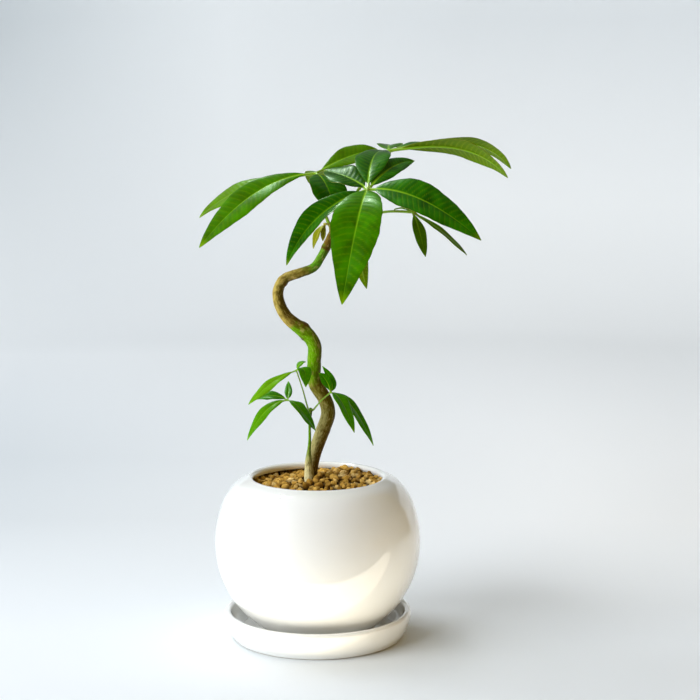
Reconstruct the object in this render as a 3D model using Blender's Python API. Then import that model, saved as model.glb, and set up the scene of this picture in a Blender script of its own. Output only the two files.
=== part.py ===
"""Potted money tree: a curved trunk and a small sprout in a round glazed pot on its saucer.

Metres, +Z up. The origin is the centre of the saucer's flat base, on the surface that it
stands on. +X is to the right and -Y is towards the viewer. Lengths below are in millimetres
and are turned to metres as each mesh is made.
"""

import math
import random
from collections import namedtuple

import bmesh
import bpy
from mathutils import Vector
from mathutils.geometry import delaunay_2d_cdt

MM = 0.001
GAP = 0.3

# Saucer
SAUCER_BASE_RADIUS = 50.3
SAUCER_RIM_RADIUS = 54.5
SAUCER_HEIGHT = 15.9
SAUCER_THICKNESS = 4.0
SAUCER_CHAMFER = 1.2
SAUCER_FLARE_Z = 7.2
SAUCER_FLOOR_RADIUS = 43.3

# Pot, a ball cut flat at its foot and drawn in to a rolled lip
POT_RADIUS = 60.0
POT_CENTRE_Z = 56.2
POT_WALL = 4.2
POT_MOUTH_RADIUS = 37.2
POT_LIP_Z = 94.5
POT_SHOULDER_ANGLE = 24.0
POT_INNER_TOP_Z = 89.0
POT_SHOULDER = [(51.2, 86.2), (46.4, 91.6)]
POT_FLOOR_THICKNESS = 5.2
DRAIN_RADIUS = 5.0
TURNED_STEPS = 36

# Filling
SOIL_TOP_Z = 81.0
GRANULE_LEVEL_Z = 89.2
GRANULE_HEAP = 1.8
GRANULE_SIZE = 6.2
GRANULE_HEIGHT = 2.4
GRANULE_PACKING = 0.8
GRANULE_SCATTER = 0.9
GRANULE_LEAN = 0.25
GRANULE_SEED = 11

# Trunk: points of its axis from the root up, with the stem's diameter at each
TRUNK_SIDES = 10
TRUNK_SPACING = 4.6
TRUNK_ROOT_Z = 56.0
TRUNK_ROUTE = [
    ((-3.9, 4.0, 92.0), 7.0),
    ((-3.3, 4.0, 99.8), 7.3),
    ((0.3, 4.0, 112.8), 7.9),
    ((5.0, 3.0, 125.6), 8.3),
    ((6.1, 3.0, 132.0), 8.4),
    ((3.9, 3.0, 139.5), 8.2),
    ((-1.6, 3.0, 149.4), 8.2),
    ((-1.8, 3.0, 160.0), 8.0),
    ((-1.6, 2.0, 169.5), 8.1),
    ((-5.2, 1.0, 176.4), 8.0),
    ((-11.6, 0.0, 181.9), 7.6),
    ((-17.6, -1.0, 187.6), 7.0),
    ((-21.4, -2.0, 195.0), 6.5),
    ((-22.0, -2.0, 202.5), 6.1),
    ((-18.2, -3.0, 209.2), 5.9),
    ((-9.5, -4.0, 212.7), 5.5),
    ((-1.8, -4.0, 215.8), 5.2),
    ((2.7, -4.0, 222.2), 4.9),
    ((6.2, -4.0, 229.0), 4.9),
    ((9.6, -4.0, 236.5), 4.6),
    ((12.0, -4.0, 244.0), 4.0),
    ((13.2, -4.0, 248.5), 1.4),
]

# Sprout: a second seedling just in front of the trunk, with a swollen foot
SPROUT_SIDES = 8
SPROUT_SPACING = 4.0
SPROUT_ROOT_Z = 72.0
SPROUT_ROUTE = [
    ((-4.7, -5.2, 90.0), 6.2),
    ((-4.7, -5.2, 97.6), 5.6),
    ((-5.0, -5.4, 103.5), 4.2),
    ((-4.8, -5.4, 109.4), 2.8),
    ((-4.3, -5.4, 116.0), 2.1),
    ((-4.3, -5.4, 127.0), 1.9),
    ((-3.9, -5.4, 132.5), 2.3),
    ((-3.8, -5.4, 135.2), 1.4),
]

# Petioles and blades
PETIOLE_SIDES = 6
PETIOLE_SPACING = 5.0
BLADE_THICKNESS = 0.7
BLADE_COLUMNS = 5
ROW_LENGTH = 8.5
KEEL_DEPTH = 0.5
BLADE_FULLNESS = 0.85
BLADE_BOW = 0.16
STALK_SHARE = 0.07
STALK_FADE = 0.13
FIRST_ROW = 0.1
LAST_ROW = 0.995
TIP_HALF_WIDTH = 0.25
WAVES = 2.0
WAVE_PHASE_LEFT = 2.6
WAVE_PHASE_RIGHT = 1.0

Leaflet = namedtuple("Leaflet", "mid tip width roll fold wave belly", defaults=(0.5,))
Leaf = namedtuple("Leaf", "name stem foot_z bearing elbow hub stalk leaflets")

# Each leaf leaves its stem at foot_z towards bearing (degrees from +X), rises through elbow
# to its hub, and carries leaflets whose midribs run from the hub through mid to tip. A leaflet
# is widest at belly, a share of its length.
LEAVES = [
    Leaf("leaf_front", "trunk", 243.0, -50, (20, -18, 252), (28.7, -30, 261.2), 2.2, [
        Leaflet((22.8, -51, 244.9), (14.4, -46, 199.4), 27.8, 0, 10, 0.8, 0.46),
        Leaflet((1.4, -41, 246.4), (-15.9, -38, 220.2), 14.5, 30, 26, 0.6, 0.45),
        Leaflet((57.3, -41, 256.3), (89.9, -46, 234.5), 21.5, -42, 10, 0.8, 0.44),
        Leaflet((41.6, -14, 272.2), (55.4, 6, 275.4), 11.5, -38, 12, 0.4, 0.44),
        Leaflet((31.3, -10, 276.5), (38, 16, 280.9), 19.5, 0, 8, 0.6, 0.5),
        Leaflet((17, -20, 267.5), (4.2, -8, 270.3), 17, 30, 10, 0.8, 0.52),
    ]),
    Leaf("leaf_left", "trunk", 239.0, 165, (2, 0, 254), (-0.5, 5, 268.3), 2.0, [
        Leaflet((-33.9, -2, 258), (-66.4, -6, 226.9), 17, 46, 8, 0.6, 0.57),
        Leaflet((-40.3, 16, 259.8), (-68.4, 22, 241.9), 15, 34, 8, 0.6, 0.63),
        Leaflet((17.1, 16, 277), (34.7, 24, 281.2), 14, -40, 10, 0.5, 0.57),
        Leaflet((5.5, -9, 262), (11, -18, 247), 24, 8, 8, 0.6, 0.56),
        Leaflet((0, 30, 266), (1, 50, 253), 15, 0, 10, 0.5, 0.5),
    ]),
    Leaf("leaf_back_right", "trunk", 246.0, 60, (28, 10, 265), (41.3, 22, 280.4), 2.2, [
        Leaflet((81.7, 16, 283), (108.5, 6, 265.7), 20.5, 22, 8, 0.5, 0.55),
        Leaflet((85.9, 36, 285.8), (112.4, 30, 269.8), 17, 4, 8, 0.5, 0.56),
        Leaflet((42, 44, 283), (47.6, 66, 281), 15, 0, 8, 0.5, 0.5),
        Leaflet((34, 44, 276), (26, 60, 262), 15, 0, 10, 0.5, 0.5),
        Leaflet((62, 44, 284), (80, 62, 281), 14, 0, 8, 0.5, 0.52),
    ]),
    Leaf("leaf_low_right", "trunk", 234.0, 15, (34, -6, 246.3), (54.2, -8, 247.4), 1.8, [
        Leaflet((57.6, -15, 236.5), (60.9, -18, 223), 7.8, 0, 8, 0.3, 0.48),
        Leaflet((70.8, -10, 236.2), (84.7, -8, 223), 6.5, -20, 8, 0.3, 0.5),
        Leaflet((49, 3, 249), (43.9, 10, 247.1), 5, 10, 8, 0.3, 0.5),
        Leaflet((65.5, 8, 247.6), (77.6, 18, 241.6), 9, 0, 8, 0.3, 0.5),
        Leaflet((56, 12, 250), (58.4, 28, 246), 9, 0, 8, 0.3, 0.5),
    ]),
    Leaf("leaf_behind", "trunk", 231.0, 75, (18, 7, 232), (25.7, 15, 231), 1.8, [
        Leaflet((25.2, 24, 217), (28.6, 23, 200.5), 8, 0, 8, 0.4, 0.5),
        Leaflet((17, 34, 226), (10, 45, 212), 12, 0, 8, 0.4, 0.5),
        Leaflet((26, 38, 228), (25, 56, 219), 14, 0, 8, 0.4, 0.5),
        Leaflet((15, 14, 226), (10.5, 11, 217), 8, 0, 8, 0.4, 0.5),
    ]),
    Leaf("leaf_young", "trunk", 236.5, -130, (7, -9.5, 240.5), (4.8, -11, 240.8), 1.4, [
        Leaflet((1.0, -14, 235.8), (-1.7, -14, 227.3), 5.8, 0, 20, 0.2, 0.5),
        Leaflet((4.0, -13, 236.2), (3.6, -12.5, 231.4), 3.0, 0, 20, 0.1, 0.5),
    ]),
    Leaf("sprout_leaf_lower_left", "sprout", 130.0, -170, (-10, -12, 138), (-16.5, -14, 141.2), 1.2, [
        Leaflet((-9.5, -18, 137), (-0.7, -15, 123.7), 10.5, 0, 10, 0.3, 0.5),
        Leaflet((-25.5, -12, 143.4), (-34.1, -10.5, 141), 6.5, 35, 10, 0.3, 0.5),
        Leaflet((-28.8, -18, 135.5), (-39.4, -18, 118.7), 6.6, 40, 10, 0.4, 0.5),
        Leaflet((-16.3, -8, 144.8), (-16.5, -2, 150), 4.2, 0, 10, 0.2, 0.5),
    ]),
    Leaf("sprout_leaf_upper_left", "sprout", 133.3, 130, (-8.5, -6.5, 147), (-11.7, -9, 157.4), 1.2, [
        Leaflet((-24.9, -17, 151.7), (-38.5, -20, 139.6), 5.8, 40, 8, 0.6, 0.55),
        Leaflet((-7.2, -15, 158.5), (-6.3, -16, 148.9), 7.6, 0, 10, 0.3, 0.5),
        Leaflet((-9.2, -6, 161), (-6.2, -4.4, 161.5), 3.4, 0, 14, 0.2, 0.5),
    ]),
    Leaf("sprout_leaf_right", "sprout", 134.2, -20, (2.4, -8, 139.9), (7.7, -9, 144.7), 1.2, [
        Leaflet((14.3, -15, 140), (21.2, -18, 123.1), 10, 0, 10, 0.4, 0.5),
        Leaflet((20, -5, 135.6), (32.3, -2, 112.4), 7.8, -50, 10, 0.4, 0.55),
        Leaflet((8.2, -5, 150.6), (3.0, -3.0, 159), 5, 0, 10, 0.3, 0.42),
        Leaflet((5.4, -8.5, 151.2), (1.2, -8.5, 155.8), 5.5, 70, 10, 0.3, 0.5),
    ]),
]


def clear_scene():
    """Start from an empty scene."""
    for item in list(bpy.data.objects):
        bpy.data.objects.remove(item)


def finish_material(name, colour, roughness):
    material = bpy.data.materials.new(name)
    material.use_nodes = True
    shader = material.node_tree.nodes["Principled BSDF"]
    shader.inputs["Base Color"].default_value = (*colour, 1.0)
    shader.inputs["Roughness"].default_value = roughness
    shader.inputs["Metallic"].default_value = 0.0
    return material


def object_from(mesh_builder, name, colour=None, roughness=0.5):
    """Turn a bmesh in millimetres into an object in metres."""
    bmesh.ops.scale(mesh_builder, vec=(MM, MM, MM), verts=mesh_builder.verts)
    bmesh.ops.recalc_face_normals(mesh_builder, faces=mesh_builder.faces)
    mesh = bpy.data.meshes.new(name)
    mesh_builder.to_mesh(mesh)
    mesh_builder.free()
    item = bpy.data.objects.new(name, mesh)
    bpy.context.scene.collection.objects.link(item)
    if colour:
        mesh.materials.append(finish_material(name, colour, roughness))
    return item


def shade_round(item, angle=40.0):
    """Smooth shading with edges kept where faces meet more sharply than the angle."""
    item.data.shade_smooth()
    item.data.set_sharp_from_angle(angle=math.radians(angle))


def arc(centre_r, centre_z, radius, start, end, steps):
    """Profile points on an arc, with angles in degrees from +r towards +z."""
    points = []
    for step in range(steps + 1):
        angle = math.radians(start + (end - start) * step / steps)
        points.append((centre_r + radius * math.cos(angle), centre_z + radius * math.sin(angle)))
    return points


def turned(name, profile, closed, colour, roughness, steps=TURNED_STEPS):
    """Spin a profile of (radius, height) pairs round the Z axis."""
    build = bmesh.new()
    verts = [build.verts.new((radius, 0.0, height)) for radius, height in profile]
    pairs = list(zip(verts, verts[1:]))
    if closed:
        pairs.append((verts[-1], verts[0]))
    edges = [build.edges.new(pair) for pair in pairs]
    bmesh.ops.spin(build, geom=verts + edges, cent=(0, 0, 0), axis=(0, 0, 1),
                   angle=math.tau, steps=steps, use_merge=True)
    bmesh.ops.remove_doubles(build, verts=build.verts, dist=0.001)
    item = object_from(build, name, colour, roughness)
    shade_round(item)
    return item


def cut(item, cutter):
    """Cut a hole now, and drop the cutter."""
    modifier = item.modifiers.new("hole", "BOOLEAN")
    modifier.operation = "DIFFERENCE"
    modifier.solver = "EXACT"
    modifier.object = cutter
    bake(item)
    bpy.data.objects.remove(cutter)


def bake(item):
    """Replace the mesh by what its modifiers give."""
    depsgraph = bpy.context.evaluated_depsgraph_get()
    depsgraph.update()
    mesh = bpy.data.meshes.new_from_object(item.evaluated_get(depsgraph))
    item.modifiers.clear()
    item.data = mesh


def ball_angle(radius, height):
    """Angle above the pot's waist at which a ball of this radius reaches a height."""
    return math.degrees(math.asin((height - POT_CENTRE_Z) / radius))


def make_saucer():
    """A dish with an upright wall, a rounded rim and a soft bend from wall to floor."""
    wall = SAUCER_THICKNESS
    rim = wall / 2
    profile = [(0.0, 0.0), (SAUCER_BASE_RADIUS - SAUCER_CHAMFER, 0.0),
               (SAUCER_BASE_RADIUS, SAUCER_CHAMFER),
               (SAUCER_RIM_RADIUS - SAUCER_CHAMFER, SAUCER_FLARE_Z)]
    profile += arc(SAUCER_RIM_RADIUS - rim, SAUCER_HEIGHT - rim, rim, 0, 180, 4)
    profile += [(SAUCER_RIM_RADIUS - wall - 1.4, SAUCER_HEIGHT / 2),
                (SAUCER_FLOOR_RADIUS + 1.6, wall + 0.8), (SAUCER_FLOOR_RADIUS, wall), (0.0, wall)]
    turned("saucer", profile, False, (0.86, 0.86, 0.83), 0.12)


def floor_height():
    """Height of the pot's inner floor."""
    return SAUCER_THICKNESS + GAP + POT_FLOOR_THICKNESS


def inner_wall():
    """Profile of the pot's inside, from just below its lip down to the edge of its floor."""
    inner = POT_RADIUS - POT_WALL
    return arc(0, POT_CENTRE_Z, inner, ball_angle(inner, POT_INNER_TOP_Z),
               ball_angle(inner, floor_height()), 6)


def wall_radius(height):
    """Radius of the pot's inside at a height, read along its straight facets."""
    points = inner_wall()
    for (high_r, high_z), (low_r, low_z) in zip(points, points[1:]):
        if low_z <= height <= high_z:
            return low_r + (high_r - low_r) * (height - low_z) / (high_z - low_z)
    return points[0][0]


def make_pot():
    foot_z = SAUCER_THICKNESS + GAP
    lip = POT_WALL / 2
    profile = [(DRAIN_RADIUS, foot_z)]
    profile += arc(0, POT_CENTRE_Z, POT_RADIUS, ball_angle(POT_RADIUS, foot_z), POT_SHOULDER_ANGLE, 8)
    profile += POT_SHOULDER
    profile += arc(POT_MOUTH_RADIUS + lip, POT_LIP_Z - lip, lip, 60, 180, 3)
    profile += inner_wall()
    profile.append((DRAIN_RADIUS, floor_height()))
    turned("pot", profile, True, (0.9, 0.9, 0.87), 0.1)


def make_soil():
    """Potting soil that fills the pot, a gap inside its wall."""
    floor_z = floor_height() + GAP
    profile = [(0.0, floor_z), (wall_radius(floor_z) - 2 * GAP, floor_z)]
    for radius, height in reversed(inner_wall()):
        if floor_z + 1.0 < height < SOIL_TOP_Z - 1.0:
            profile.append((radius - GAP, height))
    profile += [(wall_radius(SOIL_TOP_Z) - GAP, SOIL_TOP_Z), (0.0, SOIL_TOP_Z)]
    soil = turned("soil", profile, False, (0.05, 0.032, 0.02), 0.95)
    cut_stem_holes(soil)


def cut_stem_holes(item):
    """Plain holes for the trunk and the sprout."""
    for route, root_z in ((TRUNK_ROUTE, TRUNK_ROOT_Z), (SPROUT_ROUTE, SPROUT_ROOT_Z)):
        (x, y, z), diameter = route[0]
        bottom = root_z - GAP
        top = POT_LIP_Z + 5.0
        build = bmesh.new()
        radius = diameter / 2 + GAP
        bmesh.ops.create_cone(build, cap_ends=True, segments=12, radius1=radius, radius2=radius,
                              depth=top - bottom)
        bmesh.ops.translate(build, vec=(x, y, (top + bottom) / 2), verts=build.verts)
        cut(item, object_from(build, "stem_hole"))


def granule_centres(draw):
    """Even packing on a sunflower spiral inside the mouth, with a little scatter."""
    reach = POT_MOUTH_RADIUS - 0.25 * GRANULE_SIZE
    count = round(GRANULE_PACKING * (2 * reach / GRANULE_SIZE) ** 2)
    golden = math.pi * (3 - math.sqrt(5))
    centres = []
    for index in range(count):
        radius = reach * math.sqrt((index + 0.5) / count)
        angle = index * golden
        nudge = Vector([draw.uniform(-GRANULE_SCATTER, GRANULE_SCATTER) for _ in range(2)])
        centres.append(Vector((math.cos(angle), math.sin(angle))) * radius + nudge)
    return centres


def granule_points(draw):
    """Points of the bumpy top: a tilted top on each granule and a low point in each gap."""
    centres = granule_centres(draw)
    points = []
    for centre in centres:
        heap = GRANULE_HEAP * (1 - (centre.length / POT_MOUTH_RADIUS) ** 2)
        top = GRANULE_LEVEL_Z + heap + GRANULE_HEIGHT * draw.uniform(0.55, 1.0)
        turn = draw.uniform(0, math.tau)
        lean = draw.uniform(-GRANULE_LEAN, GRANULE_LEAN)
        for corner in range(5):
            angle = turn + math.tau * corner / 5
            reach = GRANULE_SIZE * draw.uniform(0.2, 0.32)
            offset = Vector((math.cos(angle), math.sin(angle))) * reach
            points.append((centre + offset, top + lean * offset.x))
    _, _, triangles, *_ = delaunay_2d_cdt(centres, [], [], 0, 1e-4)
    for triangle in triangles:
        middle = sum((centres[index] for index in triangle), Vector((0, 0))) / 3
        longest = max((centres[index] - middle).length for index in triangle)
        if longest < GRANULE_SIZE:
            points.append((middle, GRANULE_LEVEL_Z - 0.4 * GRANULE_HEIGHT * draw.random()))
    return points


def ring(radius, height):
    """Points of a level ring, at the same turns as the facets of the pot's wall."""
    turns = [math.tau * step / TURNED_STEPS for step in range(TURNED_STEPS)]
    return [(Vector((math.cos(turn), math.sin(turn))) * radius, height) for turn in turns]


def make_granules():
    """The layer of baked clay granules over the soil, with its top raised by formula."""
    draw = random.Random(GRANULE_SEED)
    bottom_z = SOIL_TOP_Z + GAP
    rim_z = GRANULE_LEVEL_Z - 0.9
    reach = POT_MOUTH_RADIUS - GAP
    tops = [entry for entry in granule_points(draw) if entry[0].length < reach]
    top = ring(wall_radius(rim_z) - GAP, rim_z) + tops
    _, _, triangles, *_ = delaunay_2d_cdt([spot for spot, _ in top], [], [], 0, 1e-4)
    build = bmesh.new()
    verts = [build.verts.new((spot.x, spot.y, height)) for spot, height in top]
    for triangle in triangles:
        build.faces.new([verts[index] for index in triangle])
    below = ring(wall_radius(bottom_z) - GAP, bottom_z)
    base = [build.verts.new((spot.x, spot.y, height)) for spot, height in below]
    for step in range(TURNED_STEPS):
        following = (step + 1) % TURNED_STEPS
        build.faces.new((verts[step], verts[following], base[following], base[step]))
    build.faces.new(base)
    granules = object_from(build, "clay_granules", (0.55, 0.27, 0.07), 0.9)
    cut_stem_holes(granules)


def smooth_route(route, spacing):
    """Read a rounded curve through the route's points, with the diameters between them."""
    points = [Vector(place) for place, _ in route]
    sizes = [size for _, size in route]
    axis, widths = [], []
    for index in range(len(points) - 1):
        before = points[max(index - 1, 0)]
        start, end = points[index], points[index + 1]
        after = points[min(index + 2, len(points) - 1)]
        steps = max(1, round((end - start).length / spacing))
        for step in range(steps):
            t = step / steps
            axis.append(rounded(before, start, end, after, t))
            widths.append(sizes[index] * (1 - t) + sizes[index + 1] * t)
    axis.append(points[-1])
    widths.append(sizes[-1])
    return axis, widths


def rounded(before, start, end, after, t):
    """Catmull-Rom point between start and end."""
    return 0.5 * (2 * start + (end - before) * t + (2 * before - 5 * start + 4 * end - after) * t ** 2
                  + (3 * start - before - 3 * end + after) * t ** 3)


def add_tube(build, axis, widths, sides):
    """A closed tube round an axis, with flat ends and no twist."""
    rings = []
    side = None
    for index, centre in enumerate(axis):
        ahead = axis[min(index + 1, len(axis) - 1)]
        behind = axis[max(index - 1, 0)]
        along = (ahead - behind).normalized()
        if side is None:
            side = along.orthogonal().normalized()
        side = (side - along * side.dot(along)).normalized()
        other = along.cross(side)
        ring = []
        for step in range(sides):
            angle = math.tau * step / sides
            offset = (side * math.cos(angle) + other * math.sin(angle)) * (widths[index] / 2)
            ring.append(build.verts.new(centre + offset))
        rings.append(ring)
    for low, high in zip(rings, rings[1:]):
        for step in range(sides):
            following = (step + 1) % sides
            build.faces.new((low[step], low[following], high[following], high[step]))
    build.faces.new(reversed(rings[0]))
    build.faces.new(rings[-1])


def stem_axis(route, root_z, spacing):
    """The route with its root: a straight length that goes down into the soil."""
    (x, y, _), diameter = route[0]
    axis, widths = smooth_route(route, spacing)
    return [Vector((x, y, root_z))] + axis, [diameter] + widths


def make_stem(name, route, root_z, spacing, sides, colour):
    """A stem as one tube, which gives back its axis and diameters for the petioles."""
    axis, widths = stem_axis(route, root_z, spacing)
    build = bmesh.new()
    add_tube(build, axis, widths, sides)
    item = object_from(build, name, colour, 0.6)
    shade_round(item, 60.0)
    return axis, widths


def stem_at(axis, widths, height):
    """Axis point, direction and radius of a stem at its ring nearest to a height."""
    index = min(range(1, len(axis) - 1), key=lambda place: abs(axis[place].z - height))
    return axis[index], (axis[index + 1] - axis[index - 1]).normalized(), widths[index] / 2


def bezier(start, middle, end, t):
    """Quadratic curve that passes through middle halfway."""
    handle = 2 * middle - (start + end) / 2
    return start * (1 - t) ** 2 + handle * 2 * t * (1 - t) + end * t ** 2


def half_width(t, belly):
    """Half width of a blade as a share of its largest, which is at belly, from base (0) to tip (1)."""
    power = math.log(0.5) / math.log(belly)
    return math.sin(math.pi * t ** power) ** BLADE_FULLNESS


def blade_frame(hub, leaflet, t):
    """Midrib point with the directions across the blade and out of its upper face."""
    middle, tip = Vector(leaflet.mid), Vector(leaflet.tip)
    centre = bezier(hub, middle, tip, t)
    along = (bezier(hub, middle, tip, t + 0.01) - bezier(hub, middle, tip, t - 0.01)).normalized()
    outward = middle - hub
    across = Vector((outward.y, -outward.x, 0.0)).normalized()
    across = (across - along * across.dot(along)).normalized()
    upward = across.cross(along)
    roll = math.radians(leaflet.roll)
    return (centre, across * math.cos(roll) + upward * math.sin(roll),
            upward * math.cos(roll) - across * math.sin(roll))


def blade_point(hub, leaflet, stalk, t, s):
    """A point of the blade's middle surface, s from -1 to 1 across."""
    centre, across, upward = blade_frame(hub, leaflet, t)
    share = half_width(max(0.0, (t - STALK_SHARE) / (1 - STALK_SHARE)), leaflet.belly)
    widest = leaflet.width / 2
    half = max(widest * share, stalk * 0.42 * (1 - t), TIP_HALF_WIDTH)
    fold = math.tan(math.radians(leaflet.fold)) * abs(s) - BLADE_BOW * s * s
    phase = WAVE_PHASE_RIGHT if s > 0 else WAVE_PHASE_LEFT
    ripple = leaflet.wave * math.sin(math.tau * WAVES * t + phase) * s * s
    return centre + across * (half * s) + upward * (share * (widest * fold + ripple))


def blade_steps(hub, leaflet):
    """Where the rows of a blade lie, from its foot in the hub to its tip."""
    length = (Vector(leaflet.mid) - hub).length + (Vector(leaflet.tip) - Vector(leaflet.mid)).length
    rows = min(8, max(5, round(length / ROW_LENGTH)))
    reach = LAST_ROW - FIRST_ROW
    return [0.0, STALK_SHARE] + [FIRST_ROW + reach * (row + 0.6) / (rows - 0.4) for row in range(rows)]


def blade_row(build, hub, leaflet, stalk, t):
    """The vertices of one row of a blade, on its upper and its under face."""
    step = 0.01
    root = max(0.0, (1 - t / STALK_FADE) * (stalk * 0.75 - BLADE_THICKNESS))
    top, bottom = [], []
    for column in range(BLADE_COLUMNS):
        s = -1 + 2 * column / (BLADE_COLUMNS - 1)
        along = (blade_point(hub, leaflet, stalk, t + step / 2, s)
                 - blade_point(hub, leaflet, stalk, t - step / 2, s))
        over = blade_point(hub, leaflet, stalk, t, s + step) - blade_point(hub, leaflet, stalk, t, s - step)
        normal = over.cross(along).normalized()
        middle = blade_point(hub, leaflet, stalk, t, s)
        half = (BLADE_THICKNESS + root * (1 - s * s / 2)) / 2
        keel = KEEL_DEPTH * (1 - t) if column == BLADE_COLUMNS // 2 else 0.0
        top.append(build.verts.new(middle + normal * half))
        bottom.append(build.verts.new(middle - normal * (half + keel)))
    return top, bottom


def add_blade(build, hub, leaflet, stalk):
    """A leaflet with its short stalk: a thin closed blade, both faces split into triangles alike."""
    rows = [blade_row(build, hub, leaflet, stalk, t) for t in blade_steps(hub, leaflet)]
    top = [row[0] for row in rows]
    bottom = [row[1] for row in rows]
    skin_grid(build, top, False)
    skin_grid(build, bottom, True)
    border_top = grid_border(top)
    border_bottom = grid_border(bottom)
    for index in range(len(border_top)):
        following = (index + 1) % len(border_top)
        build.faces.new((border_top[index], border_top[following], border_bottom[following]))
        build.faces.new((border_top[index], border_bottom[following], border_bottom[index]))


def skin_grid(build, grid, flip):
    """Triangles over a grid of vertices, turned over when flip is true."""
    for low, high in zip(grid, grid[1:]):
        for column in range(len(low) - 1):
            corners = (low[column], low[column + 1], high[column + 1], high[column])
            for triangle in ((0, 1, 2), (0, 2, 3)):
                order = reversed(triangle) if flip else triangle
                build.faces.new([corners[index] for index in order])


def grid_border(grid):
    """The vertices round a grid's edge, in order."""
    left = [row[0] for row in grid]
    right = [row[-1] for row in grid]
    return grid[0] + right[1:-1] + list(reversed(grid[-1])) + list(reversed(left[1:-1]))


def make_leaf(leaf, axis, widths):
    """One leaf: its petiole, hub and leaflets, fused into one body."""
    group = bpy.data.collections.new(leaf.name + "_parts")
    bpy.context.scene.collection.children.link(group)
    hub = Vector(leaf.hub)
    for leaflet in leaf.leaflets:
        build = bmesh.new()
        add_blade(build, hub, leaflet, leaf.stalk)
        move_to(group, object_from(build, "leaflet"))
    build = bmesh.new()
    bmesh.ops.create_icosphere(build, subdivisions=1, radius=leaf.stalk * 0.7)
    bmesh.ops.translate(build, vec=hub, verts=build.verts)
    move_to(group, object_from(build, "hub"))
    build = bmesh.new()
    add_petiole(build, leaf, hub, axis, widths)
    item = object_from(build, leaf.name, (0.02, 0.13, 0.01), 0.35)
    join_group(item, group)
    shade_round(item)


def move_to(group, item):
    bpy.context.scene.collection.objects.unlink(item)
    group.objects.link(item)


def join_group(item, group):
    """Fuse a group's objects into one body with the item, and drop them."""
    modifier = item.modifiers.new("join", "BOOLEAN")
    modifier.operation = "UNION"
    modifier.solver = "EXACT"
    modifier.operand_type = "COLLECTION"
    modifier.collection = group
    bake(item)
    for part in list(group.objects):
        bpy.data.objects.remove(part)
    bpy.data.collections.remove(group)


def add_petiole(build, leaf, hub, axis, widths):
    """The stalk from just off the stem's bark up to the hub, thicker at its foot."""
    centre, along, radius = stem_at(axis, widths, leaf.foot_z)
    bearing = math.radians(leaf.bearing)
    outward = Vector((math.cos(bearing), math.sin(bearing), 0.0))
    outward = (outward - along * outward.dot(along)).normalized()
    foot = centre + outward * (radius + GAP)
    route = [(foot, leaf.stalk * 1.25), (foot + outward * leaf.stalk, leaf.stalk * 1.2),
             (Vector(leaf.elbow), leaf.stalk * 0.9), (hub, leaf.stalk * 0.9)]
    petiole_axis, petiole_widths = smooth_route(route, PETIOLE_SPACING)
    add_tube(build, petiole_axis, petiole_widths, PETIOLE_SIDES)


def main():
    clear_scene()
    make_saucer()
    make_pot()
    make_soil()
    make_granules()
    stems = {
        "trunk": make_stem("trunk", TRUNK_ROUTE, TRUNK_ROOT_Z, TRUNK_SPACING, TRUNK_SIDES,
                           (0.2, 0.17, 0.05)),
        "sprout": make_stem("sprout_stem", SPROUT_ROUTE, SPROUT_ROOT_Z, SPROUT_SPACING, SPROUT_SIDES,
                            (0.12, 0.2, 0.03)),
    }
    for leaf in LEAVES:
        axis, widths = stems[leaf.stem]
        make_leaf(leaf, axis, widths)


if __name__ == "__main__":
    main()
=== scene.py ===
"""Looks of a potted money tree: white glazes, baked clay granules, bark, leaves and the stage.

The packed model gives every place. Lengths below are in millimetres, and mesh_object turns
them to metres. +X is to the right and -Y is towards the viewer.
"""

import math
import random
from collections import namedtuple
from functools import partial

import bmesh
import bpy
import numpy as np
from bpy.props import FloatProperty, FloatVectorProperty, IntProperty, PointerProperty
from bpy.types import Operator, Panel, PropertyGroup
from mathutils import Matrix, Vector, noise


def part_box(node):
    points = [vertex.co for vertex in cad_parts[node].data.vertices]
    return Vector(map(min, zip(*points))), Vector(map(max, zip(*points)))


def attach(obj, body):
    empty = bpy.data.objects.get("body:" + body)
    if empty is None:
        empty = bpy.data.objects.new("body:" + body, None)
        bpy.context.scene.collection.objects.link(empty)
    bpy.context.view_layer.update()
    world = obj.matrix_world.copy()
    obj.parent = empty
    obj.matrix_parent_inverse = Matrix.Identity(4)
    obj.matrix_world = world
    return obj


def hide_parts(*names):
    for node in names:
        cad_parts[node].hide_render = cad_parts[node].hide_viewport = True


bl_info = {
    "name": "Potted money tree",
    "version": (1, 0, 0),
    "blender": (4, 5, 0),
    "location": "3D View > Sidebar > Money tree",
    "description": "Models and finishes a potted money tree round its packed solids",
    "category": "Object",
}

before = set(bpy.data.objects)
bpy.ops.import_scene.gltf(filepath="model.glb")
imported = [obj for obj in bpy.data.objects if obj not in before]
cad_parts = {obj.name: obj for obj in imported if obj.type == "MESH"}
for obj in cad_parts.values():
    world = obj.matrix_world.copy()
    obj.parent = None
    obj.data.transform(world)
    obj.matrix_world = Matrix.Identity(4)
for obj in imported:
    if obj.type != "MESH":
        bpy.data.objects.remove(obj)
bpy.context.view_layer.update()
BODY = "root"
MM = 0.001


def solid_box(node):
    """Lowest and highest corner of a packed solid, in millimetres."""
    lowest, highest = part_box(node)
    return np.array(lowest) / MM, np.array(highest) / MM


SAUCER_LOW, SAUCER_HIGH = solid_box("saucer")
POT_LOW, POT_HIGH = solid_box("pot")
SOIL_LOW, SOIL_HIGH = solid_box("soil")

# Saucer, turned
RIM_RADIUS = (SAUCER_HIGH[0] - SAUCER_LOW[0]) / 2
SAUCER_HEIGHT = SAUCER_HIGH[2]
DISH_FLOOR = 4.0
FOOT_RING_WIDTH = 5.0
FOOT_RECESS = 0.8
SAUCER_BARE_BELOW = 0.3
RIM_ROUND = 2.0
WALL_LEAN = 5.4

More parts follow.
